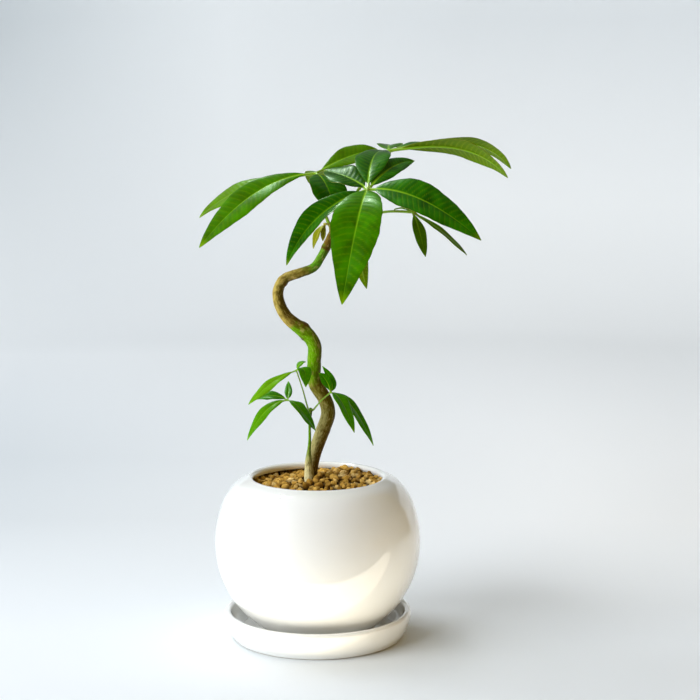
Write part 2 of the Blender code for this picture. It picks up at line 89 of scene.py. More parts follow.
# Pot, turned: a ball cut flat at its foot, with a rolled lip
BALL_RADIUS = (POT_HIGH[0] - POT_LOW[0]) / 2
BALL_CENTRE_Z = 56.2
POT_WALL = 4.2
MOUTH_RADIUS = 37.2
SHOULDER = ((51.2, 86.2), (46.4, 91.4))
UNDER_LIP = (38.6, 90.2)
POT_BARE_BELOW = POT_LOW[2] + 0.2
LIP_Z = POT_HIGH[2]
FOOT_Z = POT_LOW[2]
INNER_TOP_Z = 89.0
DRAIN_RADIUS = 5.0
INNER_FLOOR_Z = SOIL_LOW[2] - 0.3

# Stems: points of each axis from the soil up, with the diameter at each
TRUNK_ROOT_Z = 56.0
TRUNK_ROUTE = [
    ((-3.9, 4.0, 92.0), 7.0),
    ((-3.3, 4.0, 99.8), 7.3),
    ((0.3, 4.0, 112.8), 7.9),
    ((5.0, 3.0, 125.6), 8.3),
    ((6.1, 3.0, 132.0), 8.4),
    ((3.9, 3.0, 139.5), 8.2),
    ((-1.6, 3.0, 149.4), 8.2),
    ((-1.8, 3.0, 160.0), 8.0),
    ((-1.6, 2.0, 169.5), 8.1),
    ((-5.2, 1.0, 176.4), 8.0),
    ((-11.6, 0.0, 181.9), 7.6),
    ((-17.6, -1.0, 187.6), 7.0),
    ((-21.4, -2.0, 195.0), 6.5),
    ((-22.0, -2.0, 202.5), 6.1),
    ((-18.2, -3.0, 209.2), 5.9),
    ((-9.5, -4.0, 212.7), 5.5),
    ((-1.8, -4.0, 215.8), 5.2),
    ((2.7, -4.0, 222.2), 4.9),
    ((6.2, -4.0, 229.0), 4.9),
    ((9.6, -4.0, 236.5), 4.6),
    ((12.0, -4.0, 244.0), 4.0),
    ((13.2, -4.0, 248.5), 1.4),
]
SPROUT_ROOT_Z = 72.0
SPROUT_ROUTE = [
    ((-4.7, -5.2, 90.0), 6.2),
    ((-4.7, -5.2, 97.6), 5.6),
    ((-5.0, -5.4, 103.5), 4.2),
    ((-4.8, -5.4, 109.4), 2.4),
    ((-4.3, -5.4, 116.0), 1.7),
    ((-4.3, -5.4, 127.0), 1.5),
    ((-3.9, -5.4, 132.5), 2.0),
    ((-3.8, -5.4, 135.2), 1.4),
]

# Each stem's route and root, and the spacing of its rings in the packed solids
STEMS = {"trunk": (TRUNK_ROUTE, TRUNK_ROOT_Z, 0.8), "sprout": (SPROUT_ROUTE, SPROUT_ROOT_Z, 0.7)}
ROOT_RINGS = 11

# Blades: the same form as in the packed solids
BLADE_FULLNESS = 0.85
BLADE_BOW = 0.12
EXTRA_FOLD = 6.0
STALK_SHARE = 0.07
WAVES = 2.0
WAVE_PHASES = (2.6, 1.0)
GAP = 0.3

Leaflet = namedtuple("Leaflet", "mid tip width roll fold wave belly glow", defaults=(0.5, 0.0))
Leaf = namedtuple("Leaf", "name stem foot_z bearing elbow hub stalk leaflets")

# Each leaf leaves its stem at foot_z towards bearing (degrees from +X), rises through elbow
# to its hub, and carries leaflets whose midribs run from the hub through mid to tip. A leaflet
# is widest at belly, a share of its length. Glow is how pale and yellow its green is, -1 to 1:
# partly the leaflet's own colour, partly painted light where light shines through it and
# painted shade where it lies in the crown's shade.
LEAVES = [
    Leaf("leaf_front", "trunk", 243.0, -50, (20, -18, 252), (28.7, -30, 261.2), 2.2, [
        Leaflet((22.8, -51, 244.9), (14.4, -46, 199.4), 27.8, 0, 10, 0.8, 0.46, 0.1),
        Leaflet((1.4, -41, 246.4), (-15.9, -38, 220.2), 14.5, 30, 26, 0.6, 0.45, -0.5),
        Leaflet((57.3, -41, 256.3), (89.9, -46, 234.5), 21.5, -42, 10, 0.8, 0.44, -0.1),
        Leaflet((41.6, -14, 272.2), (55.4, 6, 275.4), 11.5, -38, 12, 0.4, 0.44),
        Leaflet((31.3, -10, 276.5), (38, 16, 280.9), 19.5, 0, 8, 0.6, 0.5, -0.5),
        Leaflet((17, -20, 267.5), (4.2, -8, 270.3), 17, 30, 10, 0.8, 0.52, -0.9),
    ]),
    Leaf("leaf_left", "trunk", 239.0, 165, (2, 0, 254), (-0.5, 5, 268.3), 2.0, [
        Leaflet((-33.9, -2, 258), (-66.4, -6, 226.9), 17, 46, 8, 0.6, 0.57, 0.15),
        Leaflet((-40.3, 16, 259.8), (-68.4, 22, 241.9), 15, 34, 8, 0.6, 0.63, 0.4),
        Leaflet((17.1, 16, 277), (34.7, 24, 281.2), 14, -40, 10, 0.5, 0.57, 0.3),
        Leaflet((5.5, -9, 262), (11, -18, 247), 24, 8, 8, 0.6, 0.56, -0.1),
        Leaflet((0, 30, 266), (1, 50, 253), 15, 0, 10, 0.5),
    ]),
    Leaf("leaf_back_right", "trunk", 246.0, 60, (28, 10, 265), (41.3, 22, 280.4), 2.2, [
        Leaflet((81.7, 16, 282), (108.5, 6, 265.7), 20.5, 30, 2, 0.5, 0.5, 0.6),
        Leaflet((85.9, 36, 285.2), (112.4, 30, 269.8), 17, 12, 8, 0.5, 0.56, 0.1),
        Leaflet((42, 44, 283), (47.6, 66, 281), 15, 0, 8, 0.5, 0.5, 0.1),
        Leaflet((34, 44, 276), (26, 60, 262), 15, 0, 10, 0.5),
        Leaflet((62, 44, 284), (80, 62, 281), 14, 0, 8, 0.5, 0.52),
    ]),
    Leaf("leaf_low_right", "trunk", 234.0, 15, (34, -6, 246.3), (54.2, -8, 247.4), 1.8, [
        Leaflet((57.6, -15, 236.5), (60.9, -18, 223), 7.8, 0, 8, 0.3, 0.48, 0.3),
        Leaflet((70.8, -10, 236.2), (84.7, -8, 223), 7.4, -16, 8, 0.3, 0.5, 0.4),
        Leaflet((49, 3, 249), (43.9, 10, 247.1), 5, 10, 8, 0.3, 0.5, 0.3),
        Leaflet((65.5, 8, 247.6), (77.6, 18, 241.6), 9, 0, 8, 0.3, 0.5, 0.1),
        Leaflet((56, 12, 250), (58.4, 28, 246), 9, 0, 8, 0.3, 0.5, 0.1),
    ]),
    Leaf("leaf_behind", "trunk", 231.0, 75, (18, 7, 232), (25.7, 15, 231), 1.8, [
        Leaflet((25.2, 24, 217), (28.6, 23, 200.5), 8, 0, 8, 0.4, 0.5, 1.0),
        Leaflet((17, 34, 226), (10, 45, 212), 12, 0, 8, 0.4, 0.5, 0.7),
        Leaflet((26, 38, 228), (25, 56, 219), 14, 0, 8, 0.4, 0.5, 0.6),
        Leaflet((15, 14, 226), (10.5, 11, 217), 8, 0, 8, 0.4, 0.5, 0.8),
    ]),
    Leaf("leaf_young", "trunk", 236.5, -130, (7, -9.5, 240.5), (4.8, -11, 240.8), 1.4, [
        Leaflet((1.0, -14, 235.8), (-1.7, -14, 227.3), 5.8, 0, 20, 0.2),
        Leaflet((4.0, -13, 236.2), (3.6, -12.5, 231.4), 3.0, 0, 20, 0.1, 0.5, 0.4),
    ]),
    Leaf("sprout_leaf_lower_left", "sprout", 130.0, -170, (-10, -12, 138), (-16.5, -14, 141.2), 0.95, [
        Leaflet((-9.5, -18, 137), (-0.7, -15, 123.7), 10.5, 0, 10, 0.3),
        Leaflet((-25.5, -12, 143.4), (-34.1, -10.5, 141), 6.5, 35, 10, 0.3, 0.5, -0.2),
        Leaflet((-28.8, -18, 135.5), (-39.4, -18, 118.7), 6.6, 40, 10, 0.4, 0.5, 0.2),
        Leaflet((-16.3, -8, 144.8), (-16.5, -2, 150), 4.2, 0, 10, 0.2),
    ]),
    Leaf("sprout_leaf_upper_left", "sprout", 133.3, 130, (-8.5, -6.5, 147), (-11.7, -9, 157.4), 0.95, [
        Leaflet((-24.9, -17, 151.7), (-38.5, -20, 139.6), 5.8, 40, 8, 0.6, 0.55, 0.5),
        Leaflet((-7.2, -15, 158.5), (-6.3, -16, 148.9), 9.0, 0, 10, 0.3),
        Leaflet((-9.2, -6, 161), (-6.2, -4.4, 161.5), 4.4, 0, 14, 0.2, 0.5, 0.2),
    ]),
    Leaf("sprout_leaf_right", "sprout", 134.2, -20, (2.4, -8, 139.9), (7.7, -9, 144.7), 0.95, [
        Leaflet((14.3, -15, 140), (21.2, -18, 123.1), 10, 0, 10, 0.4),
        Leaflet((20, -5, 135.6), (32.3, -2, 112.4), 7.8, -50, 10, 0.4, 0.55, -0.2),
        Leaflet((8.2, -5, 150.6), (3.0, -3.0, 159), 5, 0, 10, 0.3, 0.42, -0.9),
        Leaflet((5.4, -8.5, 151.2), (1.2, -8.5, 155.8), 5.5, 70, 10, 0.3, 0.5, -0.9),
    ]),
]

# Camera and stage, in metres
CAMERA_PLACE = (0.0188, -1.0, 0.315)
CAMERA_TILT = 81.63
CAMERA_LENS = 90.77
SWEEP_FLAT = 1.25
SWEEP_BEND = 0.55
SWEEP_TOP = 0.62
SWEEP_DROP = 0.0001
# Grey of the painted shade on the sweep, and the white of its brightest part
SWEEP_PAINTED_SHADE = "#CBD1D4"
SWEEP_WHITE = "#FBFCFB"
# Dark cards at the right and in front, standing in for the dim room: painted shade and painted reflections
# on the glaze
ROOM_RADIUS = 0.85
ROOM_HEIGHT = 1.3
ROOM_FLOOR_X = (-0.7, 0.9)
ROOM_FLOOR_Y = (-0.9, -0.12)


def linear(hex_colour):
    """Linear colour of an sRGB hex value."""
    channels = [int(hex_colour[place:place + 2], 16) / 255 for place in (1, 3, 5)]
    curved = [c / 12.92 if c <= 0.04045 else ((c + 0.055) / 1.055) ** 2.4 for c in channels]
    return (*curved, 1.0)


def colour_property(name, description, hex_colour):
    """A colour swatch for the sidebar."""
    return FloatVectorProperty(name=name, description=description, subtype="COLOR", size=4,
                               min=0.0, max=1.0, default=linear(hex_colour))


class PotSettings(PropertyGroup):
    """Glaze and form of the pot and its saucer."""

    glaze: colour_property("Glaze", "Colour of the white gloss glaze", "#FBFBF8")
    roughness: FloatProperty(name="Gloss", description="Roughness of the glaze's face", default=0.09,
                             min=0.0, max=1.0, subtype="FACTOR")
    turns: IntProperty(name="Steps round", description="Steps round the turned pieces", default=160,
                       min=48, max=256)


class FillingSettings(PropertyGroup):
    """The clay granules that cover the soil."""

    clay: colour_property("Clay", "Main colour of the baked clay", "#E6B856")
    granule: FloatProperty(name="Granule", description="Mean granule across its middle",
                           default=0.0044, unit="LENGTH")
    count: IntProperty(name="Granules", description="Granules dropped into the pot", default=1400,
                       min=50, max=2400)
    seed: IntProperty(name="Seed", description="Seed of the granules' shapes and places", default=7)


class StemSettings(PropertyGroup):
    """Bark of the trunk and the sprout."""

    relief: FloatProperty(name="Bark relief", description="Depth of the bark's furrows",
                          default=0.00012, unit="LENGTH", precision=5)
    tan: colour_property("Cork", "Tan cork where the bark has aged", "#B8A24C")
    green: colour_property("Green bark", "Living bark on the young lengths", "#6AA604")


class LeafSettings(PropertyGroup):
    """Blades, veins and colours of the leaves."""

    thickness: FloatProperty(name="Blade", description="Thickness of a blade beside its midrib",
                             default=0.00045, unit="LENGTH", precision=5)
    vein_spacing: FloatProperty(name="Vein spacing", description="Distance between side veins",
                                default=0.0032, unit="LENGTH")
    quilting: FloatProperty(name="Quilting", description="Height of the bulges between veins",
                            default=0.00015, unit="LENGTH", precision=5)
    seed: IntProperty(name="Seed", description="Seed of the veins' small differences", default=3)


class StageSettings(PropertyGroup):
    """Floor and light."""

    floor: colour_property("Floor", "Colour of the floor and backdrop", "#EEF2F4")
    key_power: FloatProperty(name="Key light", description="Power of the soft light at the left",
                             default=78.0, unit="POWER")
    sky: FloatProperty(name="Room light", description="Strength of the light from above", default=0.26)


def fill_socket(socket, value):
    """Link an input to another node's output, or give it a constant. Hex colours become linear."""
    if isinstance(value, bpy.types.NodeSocket):
        socket.id_data.links.new(value, socket)
    else:
        socket.default_value = linear(value) if isinstance(value, str) else value


def add_node(tree, kind, *values, output=None, stops=(), **settings):
    """Add a shader node with its settings and ramp stops, and give back one output.

    The values go in order to the inputs that the node shows. None leaves an input as it is.
    """
    node = tree.nodes.new("ShaderNode" + kind)
    for key, value in settings.items():
        setattr(node, key, value)
    if stops:
        ramp = node.color_ramp.elements
        while len(ramp) < len(stops):
            ramp.new(0.5)
        for element, (place, colour) in zip(ramp, stops):
            element.position = place
            element.color = linear(colour) if isinstance(colour, str) else colour
    for socket, value in zip([socket for socket in node.inputs if socket.enabled], values):
        if value is not None:
            fill_socket(socket, value)
    return node.outputs[output] if output else next(socket for socket in node.outputs if socket.enabled)


def set_shader(material, **values):
    """Fill inputs of the material's shader, named in lower case with underscores."""
    shader = material.node_tree.nodes["Principled BSDF"]
    for key, value in values.items():
        fill_socket(shader.inputs[key.replace("_", " ").title().replace("Ior", "IOR")], value)


def new_material(name, **values):
    """A node material whose shader has these constants, and what adds a node to it."""
    material = bpy.data.materials.new(name)
    material.use_nodes = True
    set_shader(material, **values)
    return material, partial(add_node, material.node_tree)


def gloss_glaze(settings):
    """Fired white glaze on earthenware: a glassy skin over a warm white body.

    The eye gets a clear reflection, a faint orange-peel ripple and a few soft uneven clouds.
    """
    material, node = new_material("white_gloss_glaze", ior=1.55, coat_weight=1.0, coat_roughness=0.02,
                                  coat_ior=1.55)
    place = node("TexCoord", output="Object")
    clouds = node("TexNoise", place, 1 / (28 * MM), 2.0)
    ripple = node("TexNoise", place, 1 / (5 * MM), 1.0)
    warmer = [channel * share for channel, share in zip(settings.glaze, (0.99, 0.98, 0.955, 1.0))]
    body = node("Mix", clouds, tuple(settings.glaze), warmer, data_type="RGBA")
    gloss = node("MapRange", clouds, 0.0, 1.0, settings.roughness, settings.roughness * 1.5)
    set_shader(material, base_color=body, roughness=gloss,
               normal=node("Bump", 0.25, 0.03 * MM, None, ripple))
    return material


def bare_earthenware():
    """Unglazed fired clay on the foot rings: matt, sandy and a little darker than the glaze."""
    material, node = new_material("bare_fired_earthenware", roughness=0.85)
    place = node("TexCoord", output="Object")
    grit = node("TexNoise", place, 1 / (0.7 * MM), 4.0)
    set_shader(material, base_color=node("Mix", grit, "#C9B79C", "#E2D6C2", data_type="RGBA"),
               normal=node("Bump", 0.6, 0.08 * MM, None, grit))
    return material


def baked_clay(settings):
    """Low-fired clay granules: dry, crumbly and ochre, each its own tint, with painted shade in the gaps."""
    material, node = new_material("baked_clay_granules", roughness=0.92, ior=1.25)
    place = node("TexCoord", output="Object")
    tint, depth = (node("Attribute", output="Fac", attribute_name=key) for key in ("tint", "depth"))
    grain = node("TexNoise", place, 1 / (1.1 * MM), 5.0, 0.65)
    body = node("ValToRGB", tint, stops=[
        (0.0, "#9E7626"), (0.35, "#CC9E44"), (0.7, tuple(settings.clay)), (1.0, "#FCDC92")])
    specks = node("MapRange", grain, 0.35, 0.7, 0.0, 0.45)
    # The specks are the clay's own; depth paints shade, dark brown, where granules lie deep in the gaps
    for mask, colour in ((specks, "#7A4A18"), (depth, "#341C02")):
        body = node("Mix", mask, body, colour, data_type="RGBA")
    set_shader(material, base_color=body, normal=node("Bump", 0.9, 0.25 * MM, None, grain))
    return material


def potting_soil():
    """Peat and bark compost: near black, damp and crumbly, with tan flecks of fibre."""
    material, node = new_material("peat_potting_soil", roughness=0.95)
    place = node("TexCoord", output="Object")
    crumbs = node("TexNoise", place, 1 / (2.5 * MM), 6.0)
    body = node("ValToRGB", crumbs, stops=[(0.3, "#1B110A"), (0.6, "#3A2617"), (0.72, "#7A5A38")])
    set_shader(material, base_color=body, normal=node("Bump", 1.0, 1.2 * MM, None, crumbs))
    return material


def living_bark(name, light_stops, shade_stops, gloss):
    """Thin living bark: waxy green where it is young, corky tan and brown where it has aged.

    The lit face and the back of the stem each have their own ramp along the stem, and the border
    between them wanders. The ramps differ partly as bark that has aged differently and partly as
    painted shade: the back's ramp is darker, as the light falls from the other side.
    """
    material, node = new_material(name, roughness=gloss, ior=1.22, specular_tint="#D8D070")
    run, side, scar = (node("Attribute", output="Fac", attribute_name=key)
                       for key in ("run", "side", "scar"))
    grain = node("Attribute", output="Vector", attribute_name="grain")
    place = node("TexCoord", output="Object")
    patches = node("TexNoise", place, 1 / (3.4 * MM), 6.0, 0.68)
    streaks = node("TexNoise", grain, 1 / 0.8, 4.0, 0.6)
    shift = node("MapRange", patches, 0.0, 1.0, -0.03, 0.03)
    moved = node("Math", run, shift, operation="ADD")
    light, shade = (node("ValToRGB", moved, stops=stops) for stops in (light_stops, shade_stops))
    wander = node("MapRange", patches, 0.0, 1.0, -1.0, 1.0)
    border = node("Math", side, wander, operation="ADD")
    # Mix from the lit face's ramp to the back's ramp, which is partly aged bark and partly painted shade
    age_and_shade = node("MapRange", border, -0.45, 0.45)
    body = node("Mix", age_and_shade, light, shade, data_type="RGBA")
    furrows = node("MapRange", streaks, 0.5, 0.64, 0.0, 0.6)
    flecks = node("MapRange", streaks, 0.46, 0.34, 0.0, 0.45)
    for mask, colour in ((furrows, "#4A3512"), (flecks, "#C0A66A"), (scar, "#53300E")):
        body = node("Mix", mask, body, colour, data_type="RGBA")
    set_shader(material, base_color=body, normal=node("Bump", 0.7, 0.15 * MM, None, streaks))
    return material


LeafLook = namedtuple("LeafLook", "deep bright pale rib under under_rib edge stalk")
CROWN_LOOK = LeafLook("#0A2E00", "#368400", "#88A804", "#84B41A", "#6A8202", "#96A81E", "#6A4412",
                      "#7FA02E")
YOUNG_LOOK = LeafLook("#6E7A0C", "#8C8A14", "#B4A83A", "#B8B040", "#8A8420", "#B8A848", "#7A4A1A",
                      "#8A8A2A")
SPROUT_LOOK = LeafLook("#246600", "#4C9800", "#94C81C", "#8CBE20", "#6F9A24", "#A9C860", "#75581C",
                       "#6E9A2A")
# The fine net of veins between the side veins, in millimetres
VEIN_CELL = 0.8


def leaf_upper(name, look):
    """Upper side of a leathery leaf: a waxed skin over deep green, with pale veins.

    The gloss breaks up on the bulges between the side veins, and the green wanders in patches.
    """
    material, node = new_material(name + "_upper_leaf_skin", roughness=0.34, ior=1.22,
                                  specular_tint="#7FD820", coat_weight=0.16, coat_ior=1.4,
                                  coat_roughness=0.03)
    place = node("Attribute", output="Vector", attribute_name="leaf_place")
    rib, vein, edge, tip, glow = (node("Attribute", output="Fac", attribute_name=key)
                                  for key in ("rib", "vein", "edge", "tip", "glow"))
    patches = node("TexNoise", place, 1 / 9.0, 3.0)
    cells = node("TexVoronoi", place, 1 / VEIN_CELL, feature="DISTANCE_TO_EDGE")
    network = node("MapRange", cells, 0.0, 0.18)
    patch = node("MapRange", patches, 0.25, 0.75, 0.12, 0.95)
    green = node("Mix", patch, look.deep, look.bright, data_type="RGBA")
    # Glow above nought pales the green and below nought deepens it: partly the leaflet's own colour, partly
    # painted light and painted shade
    layers = [(node("MapRange", value, 0.0, full, 0.0, share), colour)
              for value, full, share, colour in ((glow, 1.0, 0.75, look.pale), (glow, -1.0, 0.7, look.deep),
                                                 (vein, 1.0, 0.2, look.pale), (tip, 1.0, 0.6, look.pale))]
    for mask, colour in [*layers, (rib, look.rib), (edge, look.edge)]:
        green = node("Mix", mask, green, colour, data_type="RGBA")
    set_shader(material, base_color=green, normal=node("Bump", 0.35, 0.03 * MM, None, network))
    return material


def leaf_under(name, look):
    """Under side of the leaf: paler and yellower, with less wax, so it is soft and almost matt."""
    material, node = new_material(name + "_under_leaf_skin", roughness=0.6, ior=1.2)
    place = node("Attribute", output="Vector", attribute_name="leaf_place")
    rib, vein = (node("Attribute", output="Fac", attribute_name=key) for key in ("rib", "vein"))
    patches = node("TexNoise", place, 1 / 6.0, 3.0)
    cells = node("TexVoronoi", place, 1 / VEIN_CELL, feature="DISTANCE_TO_EDGE")
    network = node("MapRange", cells, 0.0, 0.18, 1.0, 0.0)
    patch = node("MapRange", patches, 0.0, 1.0, 0.0, 0.5)
    body = node("Mix", patch, look.under, look.bright, data_type="RGBA")
    veins = node("MapRange", node("Math", rib, vein, operation="MAXIMUM"), 0.0, 1.0, 0.0, 0.7)
    set_shader(material, base_color=node("Mix", veins, body, look.under_rib, data_type="RGBA"),
               normal=node("Bump", 0.5, 0.04 * MM, None, network))
    return material


def leaf_rim(name, look):
    """The leaf's cut edge: a thin dry line, reddish brown in places and green in others."""
    material, node = new_material(name + "_leaf_margin", roughness=0.6)
    place = node("Attribute", output="Vector", attribute_name="leaf_place")
    patches = node("TexNoise", place, 1 / 5.0, 2.0)
    set_shader(material, base_color=node("Mix", patches, look.edge, look.pale, data_type="RGBA"))
    return material


def leaf_stalk(name, look):
    """Petioles and midribs: round, juicy and waxed, yellow-green with a brownish flush."""
    material, node = new_material(name + "_petiole_skin", roughness=0.4, coat_weight=0.2,
                                  coat_roughness=0.2)
    place = node("TexCoord", output="Object")
    patches = node("TexNoise", place, 1 / (7 * MM), 3.0)
    flush = node("MapRange", patches, 0.45, 0.75, 0.0, 0.6)
    foot = node("Attribute", output="Fac", attribute_name="edge")
    green = node("Mix", foot, look.rib, look.stalk, data_type="RGBA")
    set_shader(material, base_color=node("Mix", flush, green, "#8A7A2A", data_type="RGBA"))
    return material


def studio_sweep(settings):
    """Matt sweep: pale, with painted shade that greys it towards the left and high up at the left.

    The painted shade stands in for the soft grey falloff of the light across a white corner of
    a room. Where each tone starts and ends is in metres.
    """
    material, node = new_material("matt_studio_sweep", roughness=0.9)
    place = node("TexCoord", output="Object")
    across, behind, height = (node("SeparateXYZ", place, output=axis) for axis in "XYZ")
    side, near, far, high, left, rise = (
        node("MapRange", value, start, end)
        for value, start, end in ((across, -0.35, 0.2), (behind, 0.0, 0.28), (behind, 0.5, 1.1),
                                  (height, 0.15, 0.42), (across, -0.17, -0.52), (height, 0.0, 0.42)))
    # Painted shade: the floor near the pot greys towards the left, the wall greys a little high up, and the
    # corner high up at the left greys most
    corner = node("Math", left, rise, operation="MULTIPLY")
    middle = node("Mix", side, SWEEP_PAINTED_SHADE, SWEEP_WHITE, data_type="RGBA")
    top = node("Mix", high, SWEEP_WHITE, "#E2E5E6", data_type="RGBA")
    wall = node("Mix", side, "#F1F4F5", top, data_type="RGBA")
    paint = tuple(settings.floor)
    for mask, tone in ((near, middle), (far, wall), (corner, SWEEP_PAINTED_SHADE)):
        paint = node("Mix", mask, paint, tone, data_type="RGBA")
    set_shader(material, base_color=paint)
    return material


def unit(vectors):
    """Vectors scaled to length one along the last axis."""
    return vectors / np.maximum(np.linalg.norm(vectors, axis=-1, keepdims=True), 1e-12)


def rise(values, start, length):
    """Nought up to start, then rising evenly to one over a length."""
    return np.clip((values - start) / length, 0, 1)


def grid_faces(rows, columns, wrap=False):
    """Quads over a grid of points that are numbered row by row, joined round if wrap is true."""
    row, column = np.meshgrid(np.arange(rows - 1), np.arange(columns if wrap else columns - 1),
                              indexing="ij")
    following = (column + 1) % columns
    corners = [row * columns + column, row * columns + following,
               (row + 1) * columns + following, (row + 1) * columns + column]
    return np.stack(corners, -1).reshape(-1, 4)


class Parts:
    """Points, faces, finishes and point values of one piece, gathered before its mesh is made."""

    def __init__(self):
        self.points = []
        self.faces = []
        self.finishes = []
        self.values = []
        self.count = 0

    def add(self, points, faces, finish=0, **values):
        """Add points and the faces between them, with one finish or one for each face."""
        points = np.asarray(points, float).reshape(-1, 3)
        self.faces += (np.asarray(faces) + self.count).tolist()
        self.finishes += np.broadcast_to(finish, len(faces)).tolist()
        self.points.append(points)
        self.values.append((len(points), values))
        self.count += len(points)

    def add_grid(self, grid, finish=0, wrap=False, caps=False, **values):
        """Add a grid of points, shaped (rows, columns, 3), closed at both ends if caps is true."""
        rows, columns = grid.shape[:2]
        faces = grid_faces(rows, columns, wrap).tolist()
        points = grid.reshape(-1, 3)
        if caps:
            points = np.vstack([points, grid[0].mean(0), grid[-1].mean(0)])
            for centre, start in ((rows * columns, 0), (rows * columns + 1, (rows - 1) * columns)):
                faces += [[start + step, start + (step + 1) % columns, centre, centre]
                          for step in range(columns)]
            values = {key: np.append(np.broadcast_to(value, (rows, columns)).reshape(-1),
                                     [np.mean(value), np.mean(value)]) if np.ndim(value) < 3 else
                      np.vstack([value.reshape(-1, 3), value[0].mean(0), value[-1].mean(0)])
                      for key, value in values.items()}
        self.add(points, faces, finish, **values)

    def value(self, key, width):
        """One point value for the whole piece, nought where a part doesn't give it."""
        columns = []
        for count, values in self.values:
            given = np.asarray(values.get(key, 0.0), float)
            shape = (count, width) if width > 1 else (count,)
            columns.append(given.reshape(shape) if given.size == count * width
                           else np.broadcast_to(given, shape))
        return np.concatenate(columns)


def mesh_object(name, parts, materials, numbers=(), vectors=(), weld=False, sharp=40.0):
    """Make one object in metres from gathered parts, with its point values as attributes."""
    mesh = bpy.data.meshes.new(name)
    faces = [list(dict.fromkeys(face)) for face in parts.faces]
    mesh.from_pydata((np.vstack(parts.points) * MM).tolist(), [], faces)
    for material in materials:
        mesh.materials.append(material)
    mesh.polygons.foreach_set("material_index", np.array(parts.finishes, np.int32))
    for keys, kind, field, width in ((numbers, "FLOAT", "value", 1), (vectors, "FLOAT_VECTOR", "vector", 3)):
        for key in keys:
            values = parts.value(key, width).astype(np.float32).ravel()
            mesh.attributes.new(key, kind, "POINT").data.foreach_set(field, values)
    build = bmesh.new()
    build.from_mesh(mesh)
    if weld:
        bmesh.ops.remove_doubles(build, verts=build.verts, dist=1e-7)
    bmesh.ops.recalc_face_normals(build, faces=build.faces)
    build.to_mesh(mesh)
    build.free()
    mesh.shade_smooth()
    mesh.set_sharp_from_angle(angle=math.radians(sharp))
    item = bpy.data.objects.new(name, mesh)
    bpy.context.scene.collection.objects.link(item)
    return item


def place_piece(item, slot, *nodes):
    """Let a piece stand for its packed solids and move with the object."""
    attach(item, BODY)
    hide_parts(*nodes)


def arc(centre_r, centre_z, radius, start, end, steps):
    """Profile points on an arc, with angles in degrees from +r towards +z."""
    angles = np.radians(np.linspace(start, end, steps + 1))
    return np.stack([centre_r + radius * np.cos(angles), centre_z + radius * np.sin(angles)], -1)


def rounded(points, steps):
    """A smooth curve through points, steps to each stretch, after Catmull and Rom."""
    points = np.asarray(points, float)
    steps = np.broadcast_to(steps, len(points) - 1)
    padded = np.vstack([points[:1], points, points[-1:]])
    made = []
    for index, count in enumerate(steps):
        before, start, end, after = padded[index:index + 4]
        t = (np.arange(count) / count)[:, None]
        made.append(0.5 * (2 * start + (end - before) * t
                           + (2 * before - 5 * start + 4 * end - after) * t ** 2
                           + (3 * start - before - 3 * end + after) * t ** 3))
    return np.vstack(made + [points[-1:]])


def turned_grid(profile, steps):
    """Points of a profile of (radius, height) pairs, spun round the Z axis."""
    turns = np.linspace(0, math.tau, steps, endpoint=False)
    radius, height = profile[:, :1], profile[:, 1:]
    return np.stack([radius * np.cos(turns), radius * np.sin(turns),
                     np.broadcast_to(height, (len(profile), steps))], -1)


def ball_angle(radius, height):
    """Angle above the pot's waist at which a ball of this radius reaches a height."""
    return math.degrees(math.asin((height - BALL_CENTRE_Z) / radius))


def saucer_profile():
    """Underside with its foot ring, flared wall, rounded rim and the dish inside, from axis to axis."""
    foot = RIM_RADIUS - WALL_LEAN
    inner = foot - FOOT_RING_WIDTH
    under = [(0, FOOT_RECESS), (inner - 1.2, FOOT_RECESS)]
    ring = rounded([(inner - 1.2, FOOT_RECESS), (inner - 0.3, 0.35), (inner + 0.5, 0), (foot - 0.6, 0),
                    (foot + 0.55, 0.35), (foot + 1.2, 1.2)], 4)
    wall = rounded([(foot + 1.2, 1.2), (RIM_RADIUS - 2.5, 4.0), (RIM_RADIUS - 1.2, 7.2),
                    (RIM_RADIUS - 0.25, 10.8), (RIM_RADIUS, SAUCER_HEIGHT - RIM_ROUND)], 6)
    lip = arc(RIM_RADIUS - RIM_ROUND, SAUCER_HEIGHT - RIM_ROUND, RIM_ROUND, 0, 180, 12)
    dish = rounded([(RIM_RADIUS - 2 * RIM_ROUND, SAUCER_HEIGHT - RIM_ROUND), (RIM_RADIUS - 5.4, 7.95),
                    (RIM_RADIUS - 9.6, 4.8), (RIM_RADIUS - 11.2, DISH_FLOOR), (30, DISH_FLOOR)], 6)
    profile = np.vstack([under, ring[1:], wall[1:], lip[1:], dish[1:], [(0, DISH_FLOOR)]])
    return np.maximum(profile, 0.0)


def pot_profile():
    """Foot, outer ball, drawn-in shoulder, rolled lip, inner ball and floor, as a closed loop.

    Angles are in degrees above the pot's waist.
    """
    roll = POT_WALL / 2
    inner = BALL_RADIUS - POT_WALL
    low = ball_angle(BALL_RADIUS, FOOT_Z + 1.0)
    outer = arc(0, BALL_CENTRE_Z, BALL_RADIUS, low, 20, 44)
    lip = arc(MOUTH_RADIUS + roll, LIP_Z - roll, roll, 60, 200, 12)
    shoulder = rounded([outer[-2], outer[-1], arc(0, BALL_CENTRE_Z, BALL_RADIUS, 24, 24, 0)[0],
                        *SHOULDER, lip[0], lip[1]], 5)[5:-5]
    inside = arc(0, BALL_CENTRE_Z, inner, ball_angle(inner, INNER_TOP_Z),
                 ball_angle(inner, INNER_FLOOR_Z), 30)
    under_lip = rounded([lip[-1], UNDER_LIP, inside[0], inside[1]], 5)[1:-5]
    foot = [(DRAIN_RADIUS, FOOT_Z), (outer[0][0] - 1.6, FOOT_Z), (outer[0][0] - 0.6, FOOT_Z + 0.25)]
    return np.vstack([foot, outer, shoulder[1:], lip[1:], under_lip, inside,
                      [(DRAIN_RADIUS, INNER_FLOOR_Z)]])


